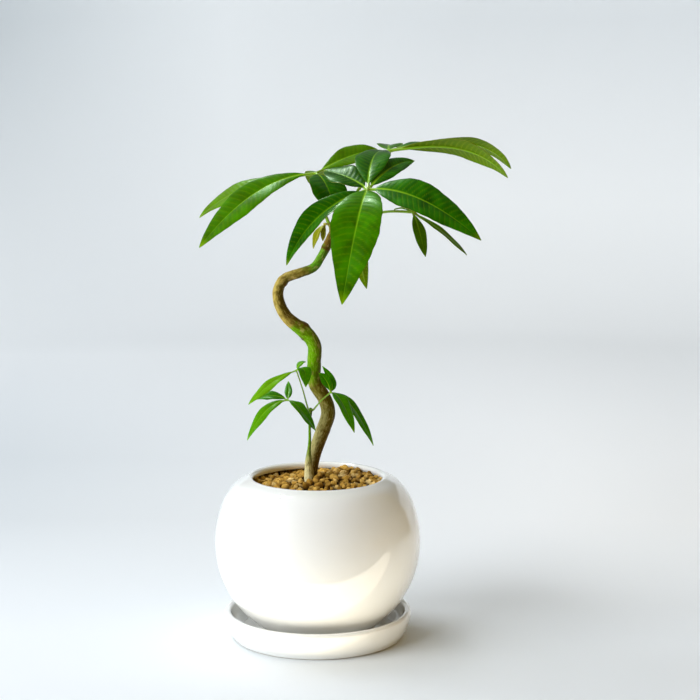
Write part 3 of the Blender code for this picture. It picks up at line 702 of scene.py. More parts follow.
def turned_piece(name, profile, closed, steps, bare_below, materials):
    """Spin a profile into a piece whose foot, below a height, has its second finish."""
    if closed:
        profile = np.vstack([profile, profile[:1]])
    grid = turned_grid(profile, steps)
    heights = (profile[:-1, 1] + profile[1:, 1]) / 2
    outside = np.maximum(profile[:-1, 0], profile[1:, 0])
    foot = (heights < bare_below) & (outside > DRAIN_RADIUS)
    parts = Parts()
    parts.add_grid(grid, np.repeat(foot.astype(int), steps), wrap=True)
    return mesh_object(name, parts, materials, weld=True)


def wall_limit(height):
    """Radius inside the pot that is free at a height."""
    inside = math.sqrt((BALL_RADIUS - POT_WALL) ** 2 - (height - BALL_CENTRE_Z) ** 2)
    return min(inside, MOUTH_RADIUS + 1.0 if height > INNER_TOP_Z + 0.6 else inside) - GAP


STEM_SPOTS = [(route[0][0][:2], route[0][1] / 2) for route, _, _ in STEMS.values()]
BED_TOP_Z = 86.6
BED_ROUGHNESS = 1.1
BED_LUMP = 2.4
FINE_DEPTH = 1.6
HEAP_SIDE_Z = 90.9
HEAP_SLOPE = 0.04
HEAP_PEAKS = [((0.0, -3.0), 20.0, 6.4), ((20.0, 28.0), 14.0, 2.4), ((-24.0, -18.0), 12.0, 0.8)]


def heap_height(x, y):
    """Height that the granules' tops are poured to, higher round the stems and at the right."""
    height = HEAP_SIDE_Z + HEAP_SLOPE * x
    for (peak_x, peak_y), spread, rise in HEAP_PEAKS:
        height += rise * math.exp(-((x - peak_x) ** 2 + (y - peak_y) ** 2) / spread ** 2)
    return height


# Granules: smallest and largest as a share of the mean, places tried for each, and how near two
# middles may come as a share of touching, since flat faces nest
SIZE_SPREAD = (0.66, 1.38)
PLACES_TRIED = 30
NESTING = 0.86
# How far a granule's middle stays from a stem and above the bed, as shares of its radius, and
# how far it may press past the wall's clearance
STEM_CLEARANCE = 0.9
BED_CLEARANCE = 0.3
WALL_PRESS = 0.6
# Each granule's stretch, how many flat faces it has and how far out they lie, how much of what
# stands past a face is taken off, the number, closeness and height of its waves, and a growth
# that makes up for the faces
STRETCH = (0.7, 1.35)
FLAT_FACES = 9
CUTS = (0.42, 0.84)
CUT_SHARE = 0.92
WAVE_COUNT = 7
WAVE_CLOSENESS = 4.5
WAVINESS = 0.035
GROWTH = 1.24
# Painted shade in the gaps: how far below the heap it starts, and how deep it darkens
GAP_SHADE_START = 0.9
GAP_SHADE_DEPTH = 2.6


def settle_granules(draw, count, mean_radius):
    """Drop granules one by one. Each takes the lowest, against the heap, of a few resting places."""
    placed = np.zeros((0, 4))
    reach = wall_limit(BED_TOP_Z)
    for _ in range(count):
        radius = mean_radius * draw.uniform(*SIZE_SPREAD)
        best = None
        for _ in range(PLACES_TRIED):
            distance = (reach - radius) * math.sqrt(draw.random())
            turn = draw.uniform(0, math.tau)
            x, y = distance * math.cos(turn), distance * math.sin(turn)
            if any(math.hypot(x - stem_x, y - stem_y) < stem + radius * STEM_CLEARANCE
                   for (stem_x, stem_y), stem in STEM_SPOTS):
                continue
            height = BED_TOP_Z + radius * BED_CLEARANCE
            apart = np.hypot(placed[:, 0] - x, placed[:, 1] - y)
            touch = (placed[:, 3] + radius) * NESTING
            near = apart < touch
            if near.any():
                rest = placed[near, 2] + np.sqrt(touch[near] ** 2 - apart[near] ** 2)
                height = max(height, rest.max())
            space = heap_height(x, y) - height - radius
            inside = distance + radius < wall_limit(height + radius * 0.5) + WALL_PRESS
            if inside and space > 0 and (best is None or space > best[0]):
                best = (space, x, y, height)
        if best:
            placed = np.vstack([placed, (*best[1:], radius)])
    return placed


def ball_template(subdivisions):
    """Unit directions and triangles of a geodesic ball."""
    build = bmesh.new()
    bmesh.ops.create_icosphere(build, subdivisions=subdivisions, radius=1.0)
    points = np.array([vert.co[:] for vert in build.verts])
    faces = np.array([[vert.index for vert in face.verts] for face in build.faces])
    build.free()
    return points, faces


def granule_points(directions, radius, rng):
    """A crumb of baked clay: a squashed ball, broken by a few flat faces and roughened."""
    stretch = rng.uniform(*STRETCH, 3)
    shape = directions * stretch / stretch.mean()
    for normal in unit(rng.normal(size=(FLAT_FACES, 3))):
        over = shape @ normal - rng.uniform(*CUTS)
        shape = shape - np.clip(over, 0, None)[:, None] * normal * CUT_SHARE
    swell = np.zeros(len(shape))
    for normal, phase in zip(rng.normal(size=(WAVE_COUNT, 3)) * WAVE_CLOSENESS,
                             rng.uniform(0, math.tau, WAVE_COUNT)):
        swell += np.sin(directions @ normal + phase)
    shape = shape * (1 + WAVINESS * swell)[:, None]
    axes, _ = np.linalg.qr(rng.normal(size=(3, 3)))
    return shape @ axes * radius * GROWTH


def granule_parts(settings):
    """The bed of fine crumbs and the loose granules that lie on it."""
    parts = Parts()
    base_z = SOIL_HIGH[2] + GAP
    rings = np.linspace(wall_limit(BED_TOP_Z), 0, 26)
    profile = np.vstack([[(0, base_z), (wall_limit(base_z), base_z)], [(r, BED_TOP_Z) for r in rings]])
    bed = turned_grid(profile, 72)
    for row in bed[3:-1]:
        for point in row:
            point[2] += BED_ROUGHNESS * noise.noise(Vector(point) / BED_LUMP)
    # The bed under the granules is painted deep in shade
    parts.add_grid(bed, wrap=True, tint=0.2, depth=0.8)
    draw = random.Random(settings.seed)
    rng = np.random.default_rng(settings.seed)
    coarse, fine = ball_template(2), ball_template(3)
    granules = settle_granules(draw, settings.count, settings.granule / MM / 2)
    for x, y, z, radius in granules:
        directions, faces = fine if z + radius > heap_height(x, y) - FINE_DEPTH else coarse
        points = granule_points(directions, radius, rng) + (x, y, z)
        # Painted shade darkens a granule's points the deeper they lie below the heap
        depth = np.clip((heap_height(x, y) - GAP_SHADE_START - points[:, 2]) / GAP_SHADE_DEPTH, 0, 1)
        parts.add(points, faces, 0, tint=draw.random(), depth=depth)
    return parts


def stem_line(route, root_z, spacing):
    """Axis points, diameters and run from the soil, of a stem with its root."""
    places = np.array([place for place, _ in route])
    sizes = np.array([(size, 0, 0) for _, size in route])
    steps = [max(2, round(length / spacing)) for length in np.linalg.norm(np.diff(places, axis=0), axis=1)]
    axis = rounded(places, steps)
    widths = rounded(sizes, steps)[:, 0]
    run = np.concatenate([[0], np.cumsum(np.linalg.norm(np.diff(axis, axis=0), axis=1))])
    root = np.tile(places[0], (ROOT_RINGS, 1))
    root[:, 2] = np.linspace(root_z, places[0][2], ROOT_RINGS + 1)[:-1]
    return (np.vstack([root, axis]), np.concatenate([np.full(ROOT_RINGS, widths[0]), widths]),
            np.concatenate([root[:, 2] - places[0][2], run]))


def ring_frames(axis):
    """Directions beside and across a line at each of its points, with no twist."""
    along = unit(np.gradient(axis, axis=0))
    side = unit(np.cross(along[0], (0.0, 1.0, 0.3)))
    sides = []
    for direction in along:
        side = unit(side - direction * (side @ direction))
        sides.append(side)
    sides = np.array(sides)
    return sides, np.cross(along, sides)


def tube(axis, radii, count):
    """Points round a line, with the outward direction at each. radii is per ring or per point."""
    side, other = ring_frames(axis)
    turns = np.linspace(0, math.tau, count, endpoint=False)
    outward = (side[:, None] * np.cos(turns)[None, :, None]
               + other[:, None] * np.sin(turns)[None, :, None])
    radii = np.broadcast_to(radii[:, None] if np.ndim(radii) == 1 else radii, outward.shape[:2])
    return axis[:, None] + outward * radii[..., None], outward, turns


def noise_field(points, size, stretch):
    """Smooth noise at each point, with lumps of a size in millimetres, stretched up the Z axis."""
    flat = points.reshape(-1, 3) / (np.array((1, 1, stretch)) * size)
    return np.array([noise.noise(Vector(place)) for place in flat]).reshape(points.shape[:-1])


# A leaf scar is a mark where a leaf once grew: how far up the stem, which way it faces, how
# high it stands, how wide it is, and how brown
Scar = namedtuple("Scar", "run facing height size brown")
TRUNK_SCARS = [
    Scar(94.5, (0.7, -0.3, 0.8), 1.15, 2.3, 0.9),
    Scar(90.0, (-0.7, -0.5, -0.8), 0.75, 1.7, 0.8),
    Scar(127.5, (0.9, -0.5, -0.9), 0.5, 1.8, 0.9),
    Scar(66.0, (-0.3, -1.0, 0.1), 0.25, 2.0, 0.5),
    Scar(38.0, (0.6, 0.9, 0.0), 0.4, 2.4, 0.6),
    Scar(146.0, (0.2, 0.9, 0.4), 0.35, 1.6, 0.6),
]
# How far the aged side of the bark, which partly carries painted shade, reaches round the stem,
# by run from the soil in millimetres
TRUNK_AGE_AND_SHADE = ((0, 0.1), (55, 0.2), (66, -0.4), (90, -0.3), (99, 0.0), (108, 0.1), (128, 0.25),
                (146, -0.1), (160, 0.0), (183, -0.1))
SPROUT_AGE_AND_SHADE = ((0, -0.35), (15, -0.2), (45, 0.1))
# Growth rings: run from the soil, height, width and how brown
TRUNK_NODES = [(4.0, 0.12, 1.6, 0.1), (30.0, 0.1, 1.2, 0.2), (58.0, 0.18, 1.1, 0.5),
               (92.5, 0.28, 1.3, 0.35), (128.0, 0.15, 1.0, 0.3), (143.5, 0.12, 0.9, 0.3),
               (160.5, 0.22, 1.4, 0.9), (168.0, 0.2, 1.0, 0.5), (174.0, 0.25, 1.0, 0.4)]
SPROUT_NODES = [(22.0, 0.06, 0.8, 0.2), (40.5, 0.22, 0.9, 0.5), (43.5, 0.15, 0.7, 0.3)]
# Bark: size and height of its swellings, then size, stretch up the stem and depth of its furrows
SWELL = (9.0, 0.22)
FURROW = (1.5, 3.2, 1.6)
# Stripes round a swollen foot, lobes of a growth ring, and the stem width from which relief is full
STRIPES_ROUND = 9
RING_LOBES = 3
FULL_RELIEF = 3.0


def stem_parts(route, root_z, spacing, count, relief, nodes, scars, age_and_shade, stripes):
    """A stem with its bark's furrows, growth rings and leaf scars, and where its colours lie."""
    axis, widths, run = stem_line(route, root_z, spacing)
    points, outward, turns = tube(axis, widths / 2, count)
    along = np.broadcast_to(run[:, None], points.shape[:2])
    swell = noise_field(points, SWELL[0], 1) * SWELL[1]
    furrow = noise_field(points, FURROW[0], FURROW[1])
    lump = (swell - relief * FURROW[2] * np.abs(furrow)
            + relief * stripes * np.sin(STRIPES_ROUND * turns)[None])
    scar_mask = np.zeros(points.shape[:2])
    for place, height, width, brown in nodes:
        near = np.exp(-((along - place) / width) ** 2)
        lump += height * near * (0.75 + 0.25 * np.sin(RING_LOBES * turns + place)[None])
        scar_mask = np.maximum(scar_mask, brown * np.exp(-((along - place) / width / 0.7) ** 2))
    for scar in scars:
        facing = outward @ unit(np.array(scar.facing))
        around = np.arccos(np.clip(facing, -1, 1)) * widths[:, None] / 2
        reach = ((along - scar.run) / scar.size) ** 2 + (around / scar.size / 1.3) ** 2
        lump += scar.height * (np.exp(-reach) - 0.6 * np.exp(-reach * 7))
        scar_mask = np.maximum(scar_mask, scar.brown * np.exp(-(reach * 1.6) ** 2))
    points = points + outward * (lump * rise(widths, 0, FULL_RELIEF)[:, None])[..., None]
    grain = outward * widths[:, None, None] * 0.5
    grain[..., 2] = along * 0.25
    parts = Parts()
    parts.add_grid(points, wrap=True, caps=True, run=rise(along, 0, run[-1]),
                   side=outward[..., 0] + np.interp(along, *np.transpose(age_and_shade)), scar=scar_mask,
                   grain=grain)
    return parts


def stem_at(route, root_z, spacing, height):
    """Axis point, direction and radius of a stem at the packed ring nearest to a height."""
    axis, widths, _ = stem_line(route, root_z, spacing)
    index = ROOT_RINGS + int(np.argmin(np.abs(axis[ROOT_RINGS:-1, 2] - height)))
    return axis[index], unit(axis[index + 1] - axis[index - 1]), widths[index] / 2


def bezier(start, middle, end, t):
    """Quadratic curve that passes through middle halfway."""
    t = np.asarray(t, float)[..., None]
    handle = 2 * middle - (start + end) / 2
    return start * (1 - t) ** 2 + handle * 2 * t * (1 - t) + end * t ** 2


def blade_share(t, belly):
    """Half width of a blade as a share of its largest, from base (0) to tip (1)."""
    grown = rise(t, STALK_SHARE, 1 - STALK_SHARE)
    return np.sin(math.pi * grown ** (math.log(0.5) / math.log(belly))) ** BLADE_FULLNESS


def blade_frame(hub, leaflet, t):
    """Midrib points with the directions across the blade and out of its upper face."""
    middle, tip = np.array(leaflet.mid, float), np.array(leaflet.tip, float)
    centre = bezier(hub, middle, tip, t)
    along = unit(bezier(hub, middle, tip, t + 0.01) - bezier(hub, middle, tip, t - 0.01))
    outward = middle - hub
    across = unit(np.array([outward[1], -outward[0], 0.0]))
    across = unit(across - along * (along @ across)[:, None])
    upward = np.cross(across, along)
    roll = math.radians(leaflet.roll)
    return (centre, across * math.cos(roll) + upward * math.sin(roll),
            upward * math.cos(roll) - across * math.sin(roll))


def blade_length(hub, leaflet):
    """Length of a leaflet from its hub through its middle to its tip."""
    middle, tip = np.array(leaflet.mid, float), np.array(leaflet.tip, float)
    return np.linalg.norm(middle - hub) + np.linalg.norm(tip - middle)


UPPER, UNDER, RIM, STALK = range(4)
HALF_COLUMNS = (0.03, 0.065, 0.12, 0.2, 0.29, 0.38, 0.47, 0.56, 0.65, 0.74, 0.82, 0.89, 0.945, 0.98, 1.0)
# Distance between rows, the share of the leaflet where the blade ends, and its least half width
ROW_SPACING = 0.6
BLADE_END = 0.998
NARROWEST = 0.16
# Nicks in the edge: two depths, as shares of the width, with their lengths
NICKS = (0.012, 2.1, 0.008, 0.9)
MARGIN_CURL = 0.35
# Side veins: how they lean and curl towards the tip, their width, their depth below, and how they
# wander along and across the blade, as shares of their spacing with the lengths of the swings
VEIN_SLANT = 0.22
VEIN_CURL = 0.3
VEIN_WIDTH = 0.26
VEIN_DEPTH = 0.09
VEIN_WANDER = (0.13, 7.3, 0.1, 2.6)
# Midrib: how far it stands out above the blade, the share of the leaflet where it ends, its
# radius at the hub as a share of the petiole's width, its taper and its least radius
RIB_PROUD = -0.02
RIB_END = 0.965
RIB_RADIUS = 0.36
RIB_TAPER = 0.75
RIB_LEAST = 0.1
# Petiole: its widths at the bark, past it, at the elbow and at the hub, as shares of the stalk's
# width, then how many ridges it has and their height as a share of it
PETIOLE_SHARES = (1.6, 1.3, 1.05, 0.76, 0.85)
RIDGES_ROUND = 5
RIDGE_SHARE = 0.04
# Hub: its radius as a share of the stalk's width, its flatness, and its lobes and their height
HUB_SHARE = 0.72
HUB_FLATNESS = 0.85
HUB_LOBES = (5, 0.12)


def blade_sheet(hub, leaflet, length, t, s, rng):
    """Middle layer of a blade: its points, the way out at each, and how far each lies to the side."""
    centre, across, upward = blade_frame(hub, leaflet, t)
    share = blade_share(t, leaflet.belly)
    widest = leaflet.width / 2
    coarse, coarse_length, fine, fine_length = NICKS
    nicks = (1 + coarse * np.sin(t * length / coarse_length + rng.uniform(0, 6))
             + fine * np.sin(t * length / fine_length))
    beside = np.maximum(widest * share * nicks, NARROWEST)[:, None] * s
    phase = np.where(s > 0, WAVE_PHASES[1], WAVE_PHASES[0])
    ripple = leaflet.wave * np.sin(math.tau * WAVES * t[:, None] + phase) * s ** 2
    fold = math.tan(math.radians(leaflet.fold + EXTRA_FOLD)) * np.abs(s) - BLADE_BOW * s ** 2
    lift = share[:, None] * (widest * fold[None] + ripple - MARGIN_CURL * s[None] ** 8)
    sheet = centre[:, None] + across[:, None] * beside[..., None] + upward[:, None] * lift[..., None]
    normal = unit(np.cross(np.gradient(sheet, axis=1), np.gradient(sheet, axis=0)))
    return sheet, normal, beside


def vein_relief(leaflet, along, beside, t, s, settings, rng):
    """How far a blade bulges between its side veins, where they run, and how they wander."""
    widest = leaflet.width / 2
    reach = np.abs(beside)
    shift = VEIN_SLANT * reach + VEIN_CURL * reach ** 2 / widest
    lengthways, long_swing, sideways, short_swing = VEIN_WANDER
    wander = (lengthways * np.sin(along / long_swing + rng.uniform(0, 6) + (s > 0) * 2.0)
              + sideways * np.sin(reach / short_swing + rng.uniform(0, 6)))
    spacing = settings.vein_spacing / MM * min(1.0, 0.35 + widest / 13)
    crest = np.abs(np.sin(math.pi * ((along - shift) / spacing + 0.5 * (s > 0) + wander)))
    grown = rise(t, STALK_SHARE, 0.1) * rise(1 - t, 0, 0.08)
    calm = grown[:, None] * rise(reach, 0, 1.6) * (1 - np.abs(s) ** 6)
    unevenness = 0.75 + 0.35 * np.sin(along / 11 + rng.uniform(0, 6)) * np.cos(reach / 4)
    bulge = settings.quilting / MM * min(1.0, widest / 9) * calm * unevenness * (crest ** 0.8 - 0.4)
    return bulge, np.exp(-(crest / VEIN_WIDTH) ** 2) * calm, wander


def add_blade(parts, hub, leaflet, stalk, settings, rng):
    """One leaflet: a thin quilted blade with its side veins, on a round midrib."""
    length = blade_length(hub, leaflet)
    start = STALK_SHARE - 0.01
    t = start + (BLADE_END - start) * np.linspace(0, 1, max(30, round(length / ROW_SPACING)))
    s = np.concatenate([-np.array(HALF_COLUMNS[::-1]), [0.0], HALF_COLUMNS])
    sheet, normal, beside = blade_sheet(hub, leaflet, length, t, s, rng)
    along = np.broadcast_to((t * length)[:, None], beside.shape)
    bulge, vein, wander = vein_relief(leaflet, along, beside, t, s, settings, rng)
    thick = settings.thickness / MM * (1 - 0.45 * np.abs(s) ** 3) / 2
    thick = np.minimum(thick, 0.12 + beside[:, -1:] * 0.1)
    upper = sheet + normal * (bulge + thick)[..., None]
    under = sheet + normal * (bulge - thick - VEIN_DEPTH * vein)[..., None]
    rib_radius = 0.27 * stalk * (1 - t) ** 0.8 + 0.05
    values = {
        "rib": np.clip(1.6 - np.abs(beside) / rib_radius[:, None], 0, 1) * (1 - 0.7 * t[:, None]),
        "vein": vein,
        "edge": rise(np.abs(s), 0.98, 0.02) * np.clip(0.6 + wander * 4, 0.3, 1.0),
        "tip": np.broadcast_to(rise(t, 0.93, 0.06)[:, None], vein.shape),
        "glow": leaflet.glow,
        "leaf_place": np.stack([beside, along, np.full_like(along, rng.uniform(0, 90))], -1),
    }
    add_sheet(parts, upper, under, values)
    add_midrib(parts, hub, leaflet, stalk, settings, length)


def add_sheet(parts, upper, under, values):
    """Close two like grids of points into one thin body with a rim between them."""
    rows, columns = upper.shape[:2]
    count = rows * columns
    skin = grid_faces(rows, columns)
    index = np.arange(count).reshape(rows, columns)
    border = np.concatenate([index[0], index[1:-1, -1], index[-1][::-1], index[1:-1, 0][::-1]])
    after = np.roll(border, -1)
    rim = np.stack([border, after, after + count, border + count], -1)
    faces = np.vstack([skin, skin[:, ::-1] + count, rim])
    finish = np.concatenate([np.full(len(skin), UPPER), np.full(len(skin), UNDER), np.full(len(rim), RIM)])
    doubled = {}
    for key, value in values.items():
        if np.ndim(value) == 0:
            doubled[key] = value
        else:
            flat = value.reshape(count, -1)
            doubled[key] = np.vstack([flat, flat]).squeeze()
    parts.add(np.vstack([upper.reshape(-1, 3), under.reshape(-1, 3)]), faces, finish, **doubled)


def add_midrib(parts, hub, leaflet, stalk, settings, length):
    """The leaflet's short stalk and midrib: a tapered round rod, sunk so that most shows below."""
    rows = max(16, round(length / 1.2))
    t = np.linspace(0.0, RIB_END, rows)
    centre, _, upward = blade_frame(hub, leaflet, t)
    radius = RIB_RADIUS * stalk * (1 - t) ** RIB_TAPER + RIB_LEAST
    radius = radius * (1 + 0.3 * np.exp(-(t / 0.025) ** 2))
    inside = rise(t, 0.02, 0.09)
    sink = radius - RIB_PROUD * (1 - t) - settings.thickness / MM / 2
    line = centre - upward * (np.maximum(sink, 0) * inside)[:, None]
    points, _, _ = tube(line, radius, 10)
    parts.add_grid(points, STALK, wrap=True, caps=True, glow=leaflet.glow)


def add_petiole(parts, leaf, hub, stem):
    """The stalk from the stem's bark up to the hub, with a swollen foot and a slight groove."""
    centre, along, radius = stem
    bearing = math.radians(leaf.bearing)
    outward = np.array([math.cos(bearing), math.sin(bearing), 0.0])
    outward = unit(outward - along * (outward @ along))
    foot = centre + outward * (radius + GAP)
    places = [foot - outward * (GAP + 0.5), foot, foot + outward * leaf.stalk * 0.6,
              np.array(leaf.elbow, float), hub]
    sizes = [leaf.stalk * share for share in PETIOLE_SHARES]
    steps = [2, 3] + [max(4, round(np.linalg.norm(end - start) / 1.1))
                      for start, end in zip(places[2:], places[3:])]
    axis = rounded(places, steps)
    widths = rounded([(size, 0, 0) for size in sizes], steps)[:, 0]
    points, outer, turns = tube(axis, widths / 2, 16)
    points = points + outer * (RIDGE_SHARE * leaf.stalk * np.sin(RIDGES_ROUND * turns))[:, None]
    age = np.broadcast_to(np.linspace(1.0, 0.2, len(axis))[:, None], points.shape[:2])
    parts.add_grid(points, STALK, wrap=True, caps=True, edge=age)


def add_hub(parts, hub, stalk):
    """The knot where the leaflets meet."""
    directions, faces = ball_template(3)
    lobes, height = HUB_LOBES
    swell = 1 + height * np.sin(lobes * np.arctan2(directions[:, 1], directions[:, 0]))
    size = (stalk * HUB_SHARE * swell)[:, None]
    parts.add(hub + directions * size * (1, 1, HUB_FLATNESS), faces, STALK)


def make_leaf(leaf, settings, materials, slot):
    """One whole leaf as a single piece: petiole, hub, midribs and blades."""
    parts = Parts()
    rng = np.random.default_rng([settings.seed, LEAVES.index(leaf)])
    hub = np.array(leaf.hub, float)
    route, root_z, spacing = STEMS[leaf.stem]
    for leaflet in leaf.leaflets:
        add_blade(parts, hub, leaflet, leaf.stalk, settings, rng)
    add_hub(parts, hub, leaf.stalk)
    add_petiole(parts, leaf, hub, stem_at(route, root_z, spacing, leaf.foot_z))
    item = mesh_object(leaf.name + "_foliage", parts, materials, ("rib", "vein", "edge", "tip", "glow"),
                       ("leaf_place",), sharp=50.0)
    place_piece(item, slot, leaf.name)


def leaf_materials(name, look):
    """The four finishes of a leaf, in the order of its face finishes."""
    return [leaf_upper(name, look), leaf_under(name, look), leaf_rim(name, look), leaf_stalk(name, look)]


class MONEYTREE_OT_saucer(Operator):
    """Turn the glazed saucer with its bare foot ring"""

    bl_idname = "money_tree.saucer"
    bl_label = "Saucer"

    def execute(self, context):
        settings = context.scene.money_tree_pot
        item = turned_piece("saucer_glazed", saucer_profile(), False, settings.turns, SAUCER_BARE_BELOW,
                            [gloss_glaze(settings), bare_earthenware()])
        place_piece(item, "saucer_glaze", "saucer")
        return {"FINISHED"}


class MONEYTREE_OT_pot(Operator):
    """Turn the glazed ball pot with its rolled lip and drain hole"""

    bl_idname = "money_tree.pot"
    bl_label = "Pot"

    def execute(self, context):
        settings = context.scene.money_tree_pot
        item = turned_piece("pot_glazed", pot_profile(), True, settings.turns, POT_BARE_BELOW,
                            [gloss_glaze(settings), bare_earthenware()])
        place_piece(item, "pot_glaze", "pot")
        return {"FINISHED"}


class MONEYTREE_OT_filling(Operator):
    """Fill the pot with clay granules and finish the soil below them"""

    bl_idname = "money_tree.filling"
    bl_label = "Granules and soil"

    def execute(self, context):
        settings = context.scene.money_tree_filling
        item = mesh_object("clay_granules_loose", granule_parts(settings), [baked_clay(settings)],
                           ("tint", "depth"), weld=True, sharp=32.0)
        place_piece(item, "baked_clay", "clay_granules")
        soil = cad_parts["soil"]
        soil.data.materials.clear()
        soil.data.materials.append(potting_soil())
        return {"FINISHED"}


class MONEYTREE_OT_trunk(Operator):
    """Grow the trunk with its bark, growth rings and leaf scars"""

    bl_idname = "money_tree.trunk"
    bl_label = "Trunk"

    def execute(self, context):
        settings = context.scene.money_tree_stem
        tan, green = tuple(settings.tan), tuple(settings.green)
        # Trunk colours along its lit face, then along its back, which partly carries painted shade
        light = [(0.0, "#BEB47C"), (0.18, "#A8A062"), (0.31, "#86802E"), (0.35, green), (0.535, green),
                 (0.55, tan), (0.71, "#B8A252"), (0.765, "#8A7A2C"), (0.80, "#56901C"),
                 (0.865, "#629A22"), (0.885, "#846628"), (1.0, "#969238")]
        shade = [(0.0, "#5A440A"), (0.3, "#5A4E08"), (0.36, "#4A5A06"), (0.5, "#5A5A0C"),
                 (0.56, "#5C480C"), (0.64, "#463A04"), (0.78, "#4A4410"), (0.81, "#2F6408"),
                 (0.87, "#3C5E0C"), (0.89, "#5A4414"), (1.0, "#54580A")]
        parts = stem_parts(TRUNK_ROUTE, TRUNK_ROOT_Z, 0.7, 44, settings.relief / MM, TRUNK_NODES,
                           TRUNK_SCARS, TRUNK_AGE_AND_SHADE, 0.0)
        item = mesh_object("trunk_bark", parts, [living_bark("living_trunk_bark", light, shade, 0.5)],
                           ("run", "side", "scar"), ("grain",), sharp=60.0)
        place_piece(item, "trunk_bark", "trunk")
        return {"FINISHED"}


class MONEYTREE_OT_sprout(Operator):
    """Grow the sprout's stem with its striped swollen foot"""

    bl_idname = "money_tree.sprout"
    bl_label = "Sprout"

    def execute(self, context):
        settings = context.scene.money_tree_stem
        green = tuple(settings.green)
        # Sprout colours along its lit face, then along its back, which partly carries painted shade
        light = [(0.0, "#EEE4B4"), (0.28, "#DCD094"), (0.42, "#98AA4C"), (0.55, green), (1.0, "#5E9A1C")]
        shade = [(0.0, "#B4A66C"), (0.25, "#988C4C"), (0.45, "#4E7418"), (1.0, "#3C6412")]
        parts = stem_parts(SPROUT_ROUTE, SPROUT_ROOT_Z, 0.5, 30, settings.relief / MM, SPROUT_NODES,
                           [], SPROUT_AGE_AND_SHADE, 0.9)
        item = mesh_object("sprout_bark", parts, [living_bark("living_sprout_bark", light, shade, 0.45)],
                           ("run", "side", "scar"), ("grain",), sharp=60.0)
        place_piece(item, "sprout_bark", "sprout_stem")
        return {"FINISHED"}


class MONEYTREE_OT_crown_leaves(Operator):
    """Grow the crown's leaves, the young one with them"""

    bl_idname = "money_tree.crown_leaves"
    bl_label = "Crown leaves"

    def execute(self, context):
        settings = context.scene.money_tree_leaf
        grown = leaf_materials("crown", CROWN_LOOK)
        young = leaf_materials("young", YOUNG_LOOK)
        for leaf in LEAVES:
            if leaf.name == "leaf_young":
                make_leaf(leaf, settings, young, "young_leaf")
            elif leaf.stem == "trunk":
                make_leaf(leaf, settings, grown, "crown_leaf")
        return {"FINISHED"}


class MONEYTREE_OT_sprout_leaves(Operator):
    """Grow the sprout's three small leaves"""

    bl_idname = "money_tree.sprout_leaves"
    bl_label = "Sprout leaves"

    def execute(self, context):
        materials = leaf_materials("sprout", SPROUT_LOOK)
        for leaf in LEAVES:
            if leaf.stem == "sprout":
                make_leaf(leaf, context.scene.money_tree_leaf, materials, "sprout_leaf")
        return {"FINISHED"}


# An area light: place, width and height in metres, share of the key power, colour, which rays
# don't meet it, and what it looks at, which is the plant unless it says otherwise
Light = namedtuple("Light", "name place size share colour unseen aim", defaults=(None, (0, 0, 0.13)))
LIGHTS = [
    Light("window_light", (-1.94, -1.23, 1.14), (2.1, 1.12), 1.0, "#F4F9FF", "glossy"),
    Light("warm_bounce", (0.98, -0.4, 0.1), (0.6, 0.2), 0.011, "#FFD490"),
    Light("skylight", (-0.55, 0.45, 1.45), (1.0, 1.0), 0.17, "#F4F8FF", "glossy"),
    Light("bright_sheet", (-0.05, -0.09, 0.002), (0.9, 0.065), 0.0034, "#FFF2D4",
          aim=(-0.05, -0.09, 1.0)),
    Light("high_pane", (-0.55, 0.45, 1.45), (0.13, 0.13), 0.35, "#F4FAFF", "diffuse"),
]


def soft_light(light, key_power):
    """Hang one wide soft light, like a window, that the camera doesn't see."""
    data = bpy.data.lights.new(light.name, "AREA")
    data.shape = "RECTANGLE"
    data.size, data.size_y = light.size
    data.energy = key_power * light.share
    data.color = linear(light.colour)[:3]
    item = bpy.data.objects.new(light.name, data)
    item.location = light.place
    item.rotation_euler = (Vector(light.aim) - Vector(light.place)).to_track_quat("-Z", "Y").to_euler()
    item.visible_camera = False
    if light.unseen:
        setattr(item, "visible_" + light.unseen, False)
    bpy.context.scene.collection.objects.link(item)


def make_sweep(settings):
    """Round studio floor that turns up into a backdrop all round."""
    bend = arc(SWEEP_FLAT / MM, SWEEP_BEND / MM, SWEEP_BEND / MM, -90, 0, 24)
    profile = np.vstack([[(0, 0)], bend, [((SWEEP_FLAT + SWEEP_BEND) / MM, SWEEP_TOP / MM)]])
    parts = Parts()
    parts.add_grid(turned_grid(profile, 128), wrap=True)
    sweep = mesh_object("studio_sweep", parts, [studio_sweep(settings)], weld=True)
    sweep.location.z = -SWEEP_DROP


def make_room_side():
    """Dark cards for the dim side of the room beyond the white sheet, which only light and reflections meet.

    The wall card is warm brown and the floor sheet near black. They stand in for a room that is only
    in shade, so the glaze gets painted shade and a painted warm dark reflection at the right.
    """
    turns = np.radians(np.linspace(-32, 125, 28))
    ring = np.stack([np.sin(turns), -np.cos(turns)], -1) * ROOM_RADIUS
    wall = np.array([[(x, y, z) for x, y in ring] for z in (MM, ROOM_HEIGHT)]) / MM
    floor = np.array([[(x, y, MM) for x in ROOM_FLOOR_X] for y in ROOM_FLOOR_Y]) / MM
    # A warm brown card that puts painted shade on the glaze, and a near black sheet that puts a painted dark
    # reflection in it
    for name, grid, finish, colour, roughness in (
            ("dim_room_side", wall, "warm_dark_shade_card", "#6E5822", 0.6),
            ("dim_room_floor", floor, "dark_reflection_sheet", "#2E2A22", 0.95)):
        parts = Parts()
        parts.add_grid(grid)
        material, _ = new_material(finish, base_color=colour, roughness=roughness)
        item = mesh_object(name, parts, [material])
        item.visible_camera = False
        item.visible_shadow = False
        item.visible_diffuse = grid is wall


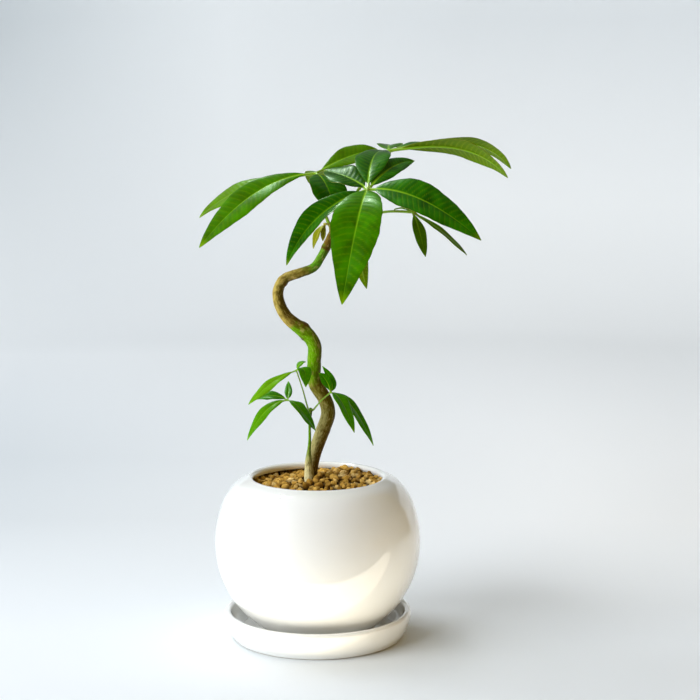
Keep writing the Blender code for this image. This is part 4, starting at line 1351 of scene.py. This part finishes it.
class MONEYTREE_OT_stage(Operator):
    """Set the floor, the soft light and the camera"""

    bl_idname = "money_tree.stage"
    bl_label = "Stage"

    def execute(self, context):
        settings = context.scene.money_tree_stage
        make_sweep(settings)
        make_room_side()
        for light in LIGHTS:
            soft_light(light, settings.key_power)
        world = bpy.data.worlds.new("pale_room")
        world.use_nodes = True
        background = world.node_tree.nodes["Background"]
        background.inputs["Color"].default_value = linear("#EBEFEE")
        background.inputs["Strength"].default_value = settings.sky
        context.scene.world = world
        context.scene.view_settings.view_transform = "Standard"
        data = bpy.data.cameras.new("photo_camera")
        data.lens = CAMERA_LENS
        camera = bpy.data.objects.new("photo_camera", data)
        camera.location = CAMERA_PLACE
        camera.rotation_euler = (math.radians(CAMERA_TILT), 0, 0)
        context.scene.collection.objects.link(camera)
        context.scene.camera = camera
        return {"FINISHED"}


OPERATORS = [MONEYTREE_OT_saucer, MONEYTREE_OT_pot, MONEYTREE_OT_filling, MONEYTREE_OT_trunk,
             MONEYTREE_OT_sprout, MONEYTREE_OT_crown_leaves, MONEYTREE_OT_sprout_leaves, MONEYTREE_OT_stage]
SETTINGS = {"pot": PotSettings, "filling": FillingSettings, "stem": StemSettings,
            "leaf": LeafSettings, "stage": StageSettings}


class MONEYTREE_PT_sidebar(Panel):
    """Buttons and settings of the money tree"""

    bl_label = "Money tree"
    bl_space_type = "VIEW_3D"
    bl_region_type = "UI"
    bl_category = "Money tree"

    def draw(self, context):
        for operator in OPERATORS:
            self.layout.operator(operator.bl_idname)
        for name, group in SETTINGS.items():
            box = self.layout.box()
            box.label(text=group.__doc__)
            for key in group.__annotations__:
                box.prop(getattr(context.scene, "money_tree_" + name), key)


def register():
    for group in SETTINGS.values():
        bpy.utils.register_class(group)
    for name, group in SETTINGS.items():
        setattr(bpy.types.Scene, "money_tree_" + name, PointerProperty(type=group))
    for entry in [*OPERATORS, MONEYTREE_PT_sidebar]:
        bpy.utils.register_class(entry)


def unregister():
    for entry in [MONEYTREE_PT_sidebar, *reversed(OPERATORS)]:
        bpy.utils.unregister_class(entry)
    for name, group in SETTINGS.items():
        delattr(bpy.types.Scene, "money_tree_" + name)
        bpy.utils.unregister_class(group)


def main():
    """Make every piece in order."""
    register()
    for operator in OPERATORS:
        getattr(bpy.ops.money_tree, operator.bl_idname.split(".")[1])()


if __name__ == "__main__":
    main()
